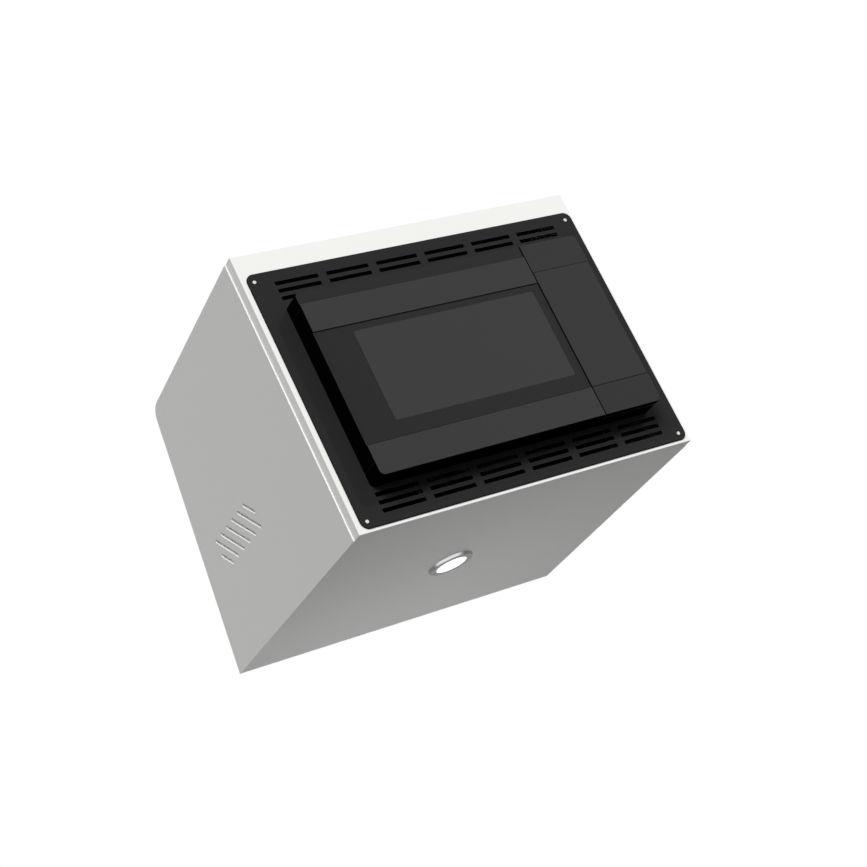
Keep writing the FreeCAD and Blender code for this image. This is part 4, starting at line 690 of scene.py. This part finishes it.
HINGE_HEAD_R = 0.003
HINGE_SCREW_APART = 0.017
low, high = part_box("hinge_screws")
middle_x = (low.x + high.x) / 2
heights = (low.z + HINGE_HEAD_R, low.z + HINGE_HEAD_R + HINGE_SCREW_APART,
           high.z - HINGE_HEAD_R - HINGE_SCREW_APART, high.z - HINGE_HEAD_R)
row = screw_row("hinge_screw_heads", "oven", HINGE_HEAD_R, HEAD_H, -1, low.y + HEAD_H,
                [(middle_x, z) for z in heights])
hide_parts("hinge_screws")

COVER_HEAD_R = 0.0026
COVER_SCREWS = 6
COVER_RIM_IN = 0.0036
COVER_SHEET = 0.001
low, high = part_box("fan_cover")
middle = (low + high) / 2
circle_r = (high.x - low.x) / 2 - COVER_RIM_IN
turns = [math.tau * (i + 0.5) / COVER_SCREWS for i in range(COVER_SCREWS)]
screw_row("cover_screw_heads", "oven", COVER_HEAD_R, HEAD_H, -1, high.y - COVER_SHEET,
          [(middle.x + circle_r * math.cos(turn), middle.z + circle_r * math.sin(turn)) for turn in turns])

PAN_HEAD_R = 0.003
PAN_HEAD_H = 0.0014
PAN_SCREW_X = (-0.19, -0.046, 0.098)
PAN_SCREW_IN = 0.014
low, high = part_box("door_inner_panel")
screw_row("door_screw_heads", "door", PAN_HEAD_R, PAN_HEAD_H, 1, high.y,
          [(x, z) for z in (low.z + PAN_SCREW_IN, high.z - PAN_SCREW_IN) for x in PAN_SCREW_X])


# Blind rivets through the back, which hold the wall doublers inside it.
# Aluminium, domed, with the pulled stem's dimple in the middle, and coated white with the housing.
RIVET_R = 0.0036
RIVET_H = 0.0014
DIMPLE_R = 0.0011
DIMPLE_DEPTH = 0.0008
BACK_LEAN_DEG = 12.65
RIVET_X = (-0.118, -0.04, 0.04, 0.118)
DOUBLER_UP = (-0.1, 0.1)
RIVET_UP = 0.013
STRAIGHT_UP = 0.99

rivet = domed_head(RIVET_R, RIVET_H, "back_rivets")
bpy.ops.object.mode_set(mode="EDIT")
bpy.ops.mesh.select_mode(type="FACE")
bpy.ops.mesh.select_all(action="DESELECT")
bpy.ops.object.mode_set(mode="OBJECT")
for face in rivet.data.polygons:
    face.select = face.normal.z > STRAIGHT_UP
bpy.ops.object.mode_set(mode="EDIT")
bpy.ops.mesh.inset(thickness=RIVET_R - ROLL_SHARE * RIVET_H - DIMPLE_R)
bpy.ops.mesh.extrude_region_move(TRANSFORM_OT_translate={"value": (0, 0, -DIMPLE_DEPTH)})
bpy.ops.object.mode_set(mode="OBJECT")
bpy.ops.object.shade_smooth_by_angle(angle=math.radians(CREASE_DEG))
lean = math.radians(BACK_LEAN_DEG)
places = [(x, up + side) for up in DOUBLER_UP for side in (-RIVET_UP, RIVET_UP) for x in RIVET_X]
rivets = [rivet] + [copied(rivet, "back_rivet" + str(i)) for i in range(1, len(places))]
for piece, (x, up) in zip(rivets, places):
    piece.rotation_euler = (lean - math.pi / 2, 0, 0)
    piece.location = (x, -up * math.sin(lean), up * math.cos(lean))
    drop_in_place(piece)
rivets = joined(rivets, "back_rivets")
dress(rivets.data, housing_coat)
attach(rivets, "oven")


# Hinge bushes in the door.
# Sintered bronze, porous and oil-soaked.
BRONZE = (0.42, 0.27, 0.12)

bronze, shader, here = new_finish("sintered_bronze", BRONZE, roughness=0.5, metallic=1.0)
pores = speckle(here, scale=2600.0, detail=3.0)
rough_between(pores, shader, smooth=0.4, rough=0.65)
emboss(pores, shader, depth=0.00003)
coat(bronze, "hinge_bushes")


# Door shell and fascia shell: black mouldings whose front faces carry a dark grey film.
# The walls behind the front edge are painted very black as painted shade.
SHELL_FACE = (0.0118, 0.0118, 0.012)
FASCIA_FACE = (0.0235, 0.0235, 0.0238)
FILM_GLOSS = 0.2

coat(black_with_painted_shade_sides("door_moulding", SHELL_FACE, FILM_GLOSS, roughness=0.5, scale=1300.0, depth=0.000015),
     "door_shell")
coat(black_with_painted_shade_sides("fascia_moulding", FASCIA_FACE, FILM_GLOSS, roughness=0.45, scale=1300.0, depth=0.000015),
     "control_fascia")


# Bands across the door, above and below the glass, the release button and the keypad film.
# Satin dark grey lacquer on the front, with the edges painted black as painted shade, like the shells they
# sit on.
BAND_FACE = (0.03, 0.03, 0.0303)
BUTTON_FACE = (0.0205, 0.0205, 0.0208)
KEYPAD_FACE = (0.0265, 0.0265, 0.0268)

coat(black_with_painted_shade_sides("band_lacquer", BAND_FACE, FILM_GLOSS, roughness=0.42, scale=1600.0, depth=0.00001),
     "upper_band", "lower_band")
coat(black_with_painted_shade_sides("button_lacquer", BUTTON_FACE, FILM_GLOSS, roughness=0.42, scale=1600.0, depth=0.00001),
     "release_button")
coat(black_with_painted_shade_sides("keypad_film", KEYPAD_FACE, FILM_GLOSS, roughness=0.5, scale=1900.0, depth=0.00001),
     "keypad_membrane")


# Display pane at the top of the fascia.
# Smoked acrylic, almost black, a little glossier than the film below it, with its edges painted black as
# painted shade.
PANE_FACE = (0.0225, 0.0225, 0.0229)

coat(black_with_painted_shade_sides("smoked_acrylic", PANE_FACE, FILM_GLOSS, roughness=0.3, scale=300.0, depth=0.000002),
     "display_window")


# Door glass: the outer pane has a printed black border, and a smoked window that shows the oven dimly.
# The inner pane is clear, heat-proof glass.
BORDER = (0.0102, 0.0102, 0.0104)
WINDOW = (0.0378, 0.0378, 0.0381)
WINDOW_ALPHA = 0.9
GLASS_LAP_SIDE = 0.0025
GLASS_LAP = 0.009
WINDOW_R = 0.004
CLEAR = (0.55, 0.6, 0.58)
CLEAR_ALPHA = 0.2
HAZE_ALPHA = 0.12

low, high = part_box("inner_glass")
window_low = Vector((low.x + GLASS_LAP, 0, low.z + GLASS_LAP))
window_high = Vector((high.x - GLASS_LAP_SIDE, 0, high.z - GLASS_LAP))
window_middle = (window_low + window_high) / 2
window_half = (window_high - window_low) / 2

door_glass, shader, here = new_finish("printed_glass", BORDER, roughness=0.1, specular=0.2)
beyond_x = abs(part_along(here, "X") - window_middle.x) - (window_half.x - WINDOW_R)
beyond_z = abs(part_along(here, "Z") - window_middle.z) - (window_half.z - WINDOW_R)
corner_x = beyond_x.math("MAXIMUM", beyond_x, 0)
corner_z = beyond_z.math("MAXIMUM", beyond_z, 0)
in_window = (corner_x * corner_x + corner_z * corner_z).below(WINDOW_R * WINDOW_R)
blend_colours(in_window, BORDER, WINDOW).into(shader, "Base Color")
(1.0 - (1.0 - WINDOW_ALPHA) * in_window).into(shader, "Alpha")
wiped = speckle(here, scale=20.0, detail=3.0)
rough_between(wiped, shader, smooth=0.08, rough=0.14)
coat(door_glass, "outer_glass")

clear_glass, shader, here = new_finish("clear_glass", CLEAR, roughness=0.08)
haze = speckle(here, scale=25.0, detail=3.0)
(CLEAR_ALPHA + HAZE_ALPHA * haze).into(shader, "Alpha")
rough_between(haze, shader, smooth=0.05, rough=0.11)
coat(clear_glass, "inner_glass")


# Door seal round the mouth of the oven.
# Knitted glass-fibre tube, grey, laid in a rectangle on the back of the door.
KNIT = (0.2, 0.2, 0.2)
KNIT_LIGHT = (0.34, 0.335, 0.325)

knit, shader, here = new_finish("knitted_seal", KNIT, roughness=0.9, specular=0.2)
loops = here.node("ShaderNodeTexWave", {"bands_direction": "DIAGONAL"},
                  {"Vector": here, "Scale": 300.0, "Distortion": 2.0, "Detail": 2.0}, "Fac")
blend_colours(loops, KNIT, KNIT_LIGHT).into(shader, "Base Color")
emboss(loops, shader, depth=0.0003)
coat(knit, "door_gasket")


# Studio: a round pale floor below the hung oven, a broad lamp above the front, a small one to its right, one
# behind, a soft box under the rear, and even fill. The background is white to the camera and in reflections.
# The floor keeps the oven's shadow, and is open from below.
FLOOR_DROP = 1.3
FLOOR_R = 20.0
FLOOR_SIDES = 180
FLOOR_PALE = (0.8, 0.8, 0.8)
FLOOR_BOUNCE = (0.11, 0.11, 0.11)
FILL = 0.22
MAIN_STRENGTH = 2.8
MAIN_SPREAD_DEG = 30.0
MAIN_TOWARDS = (-0.36, -0.75, 0.55)
RIGHT_STRENGTH = 0.75
RIGHT_SPREAD_DEG = 3.0
RIGHT_TOWARDS = (0.68, -1.0, 0.65)
REAR_STRENGTH = 1.7
REAR_SPREAD_DEG = 30.0
REAR_TOWARDS = (0.6, 0.75, 0.28)
UNDER_POWER = 1.3
UNDER_SIZE = 0.6
UNDER_PLACE = (-0.05, 0.14, -0.85)


def seen_ray(tree):
    """1 for what the camera sees directly, in a reflection or through glass, and 0 for light that bounces."""
    seen = [Tone(tree).node("ShaderNodeLightPath", {}, {}, "Is " + ray + " Ray")
            for ray in ("Camera", "Glossy", "Transmission")]
    return seen[0].math("MINIMUM", seen[0] + seen[1] + seen[2], 1.0)


bpy.ops.mesh.primitive_circle_add(vertices=FLOOR_SIDES, radius=FLOOR_R, fill_type="NGON",
                                  location=(0, 0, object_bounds()[0][2] - FLOOR_DROP))
floor = bpy.context.object
floor.name = "studio_floor"
floor_paint, shader, here = new_finish("studio_floor", FLOOR_PALE, roughness=0.9, specular=0.0)
blend_colours(seen_ray(here.tree), FLOOR_BOUNCE, FLOOR_PALE).into(shader, "Base Color")
underneath = here.node("ShaderNodeNewGeometry", {}, {}, "Backfacing")
open_below = here.node("ShaderNodeBsdfTransparent", {}, {})
layered(underneath, Tone(here.tree, shader.outputs[0]), open_below)
dress(floor.data, floor_paint)

world = bpy.data.worlds.new("studio")
bpy.context.scene.world = world
world.use_nodes = True
tree = world.node_tree
sky = tree.nodes["Background"]
sky.inputs["Color"].default_value = (1, 1, 1, 1)
shown = seen_ray(tree)
(shown + (1.0 - shown) * FILL).into(sky, "Strength")


def soft_lamp(name, towards, strength, spread_deg):
    """A far lamp in the given direction, as wide in the sky as its spread."""
    bpy.ops.object.light_add(type="SUN", rotation=Vector(towards).to_track_quat("Z", "Y").to_euler())
    lamp = bpy.context.object
    lamp.name = name
    lamp.data.energy = strength
    lamp.data.angle = math.radians(spread_deg)
    lamp.visible_glossy = False


soft_lamp("main_lamp", MAIN_TOWARDS, MAIN_STRENGTH, MAIN_SPREAD_DEG)
soft_lamp("right_lamp", RIGHT_TOWARDS, RIGHT_STRENGTH, RIGHT_SPREAD_DEG)
soft_lamp("rear_lamp", REAR_TOWARDS, REAR_STRENGTH, REAR_SPREAD_DEG)

bpy.ops.object.light_add(type="AREA", location=UNDER_PLACE, rotation=(math.pi, 0, 0))
soft_box = bpy.context.object
soft_box.name = "under_lamp"
soft_box.data.energy = UNDER_POWER
soft_box.data.size = UNDER_SIZE
soft_box.visible_glossy = False
soft_box.visible_camera = False


# Camera: low, to the front left and rolled, with the photograph's perspective.
# It looks up at the hung oven and is sharp at every distance.
CAMERA_PLACE = (-1.5866, -2.5927, -0.9163)
CAMERA_TURN_DEG = (109.1361, 24.8381, -25.9511)
CAMERA_LENS_MM = 84.479
CAMERA_SENSOR_MM = 36.0
CAMERA_REACH = 100.0

bpy.ops.object.camera_add(location=CAMERA_PLACE, rotation=[math.radians(turn) for turn in CAMERA_TURN_DEG])
camera = bpy.context.object
camera.data.lens = CAMERA_LENS_MM
camera.data.sensor_width = CAMERA_SENSOR_MM
camera.data.clip_end = CAMERA_REACH
bpy.context.scene.camera = camera
bpy.context.scene.view_settings.view_transform = "Standard"
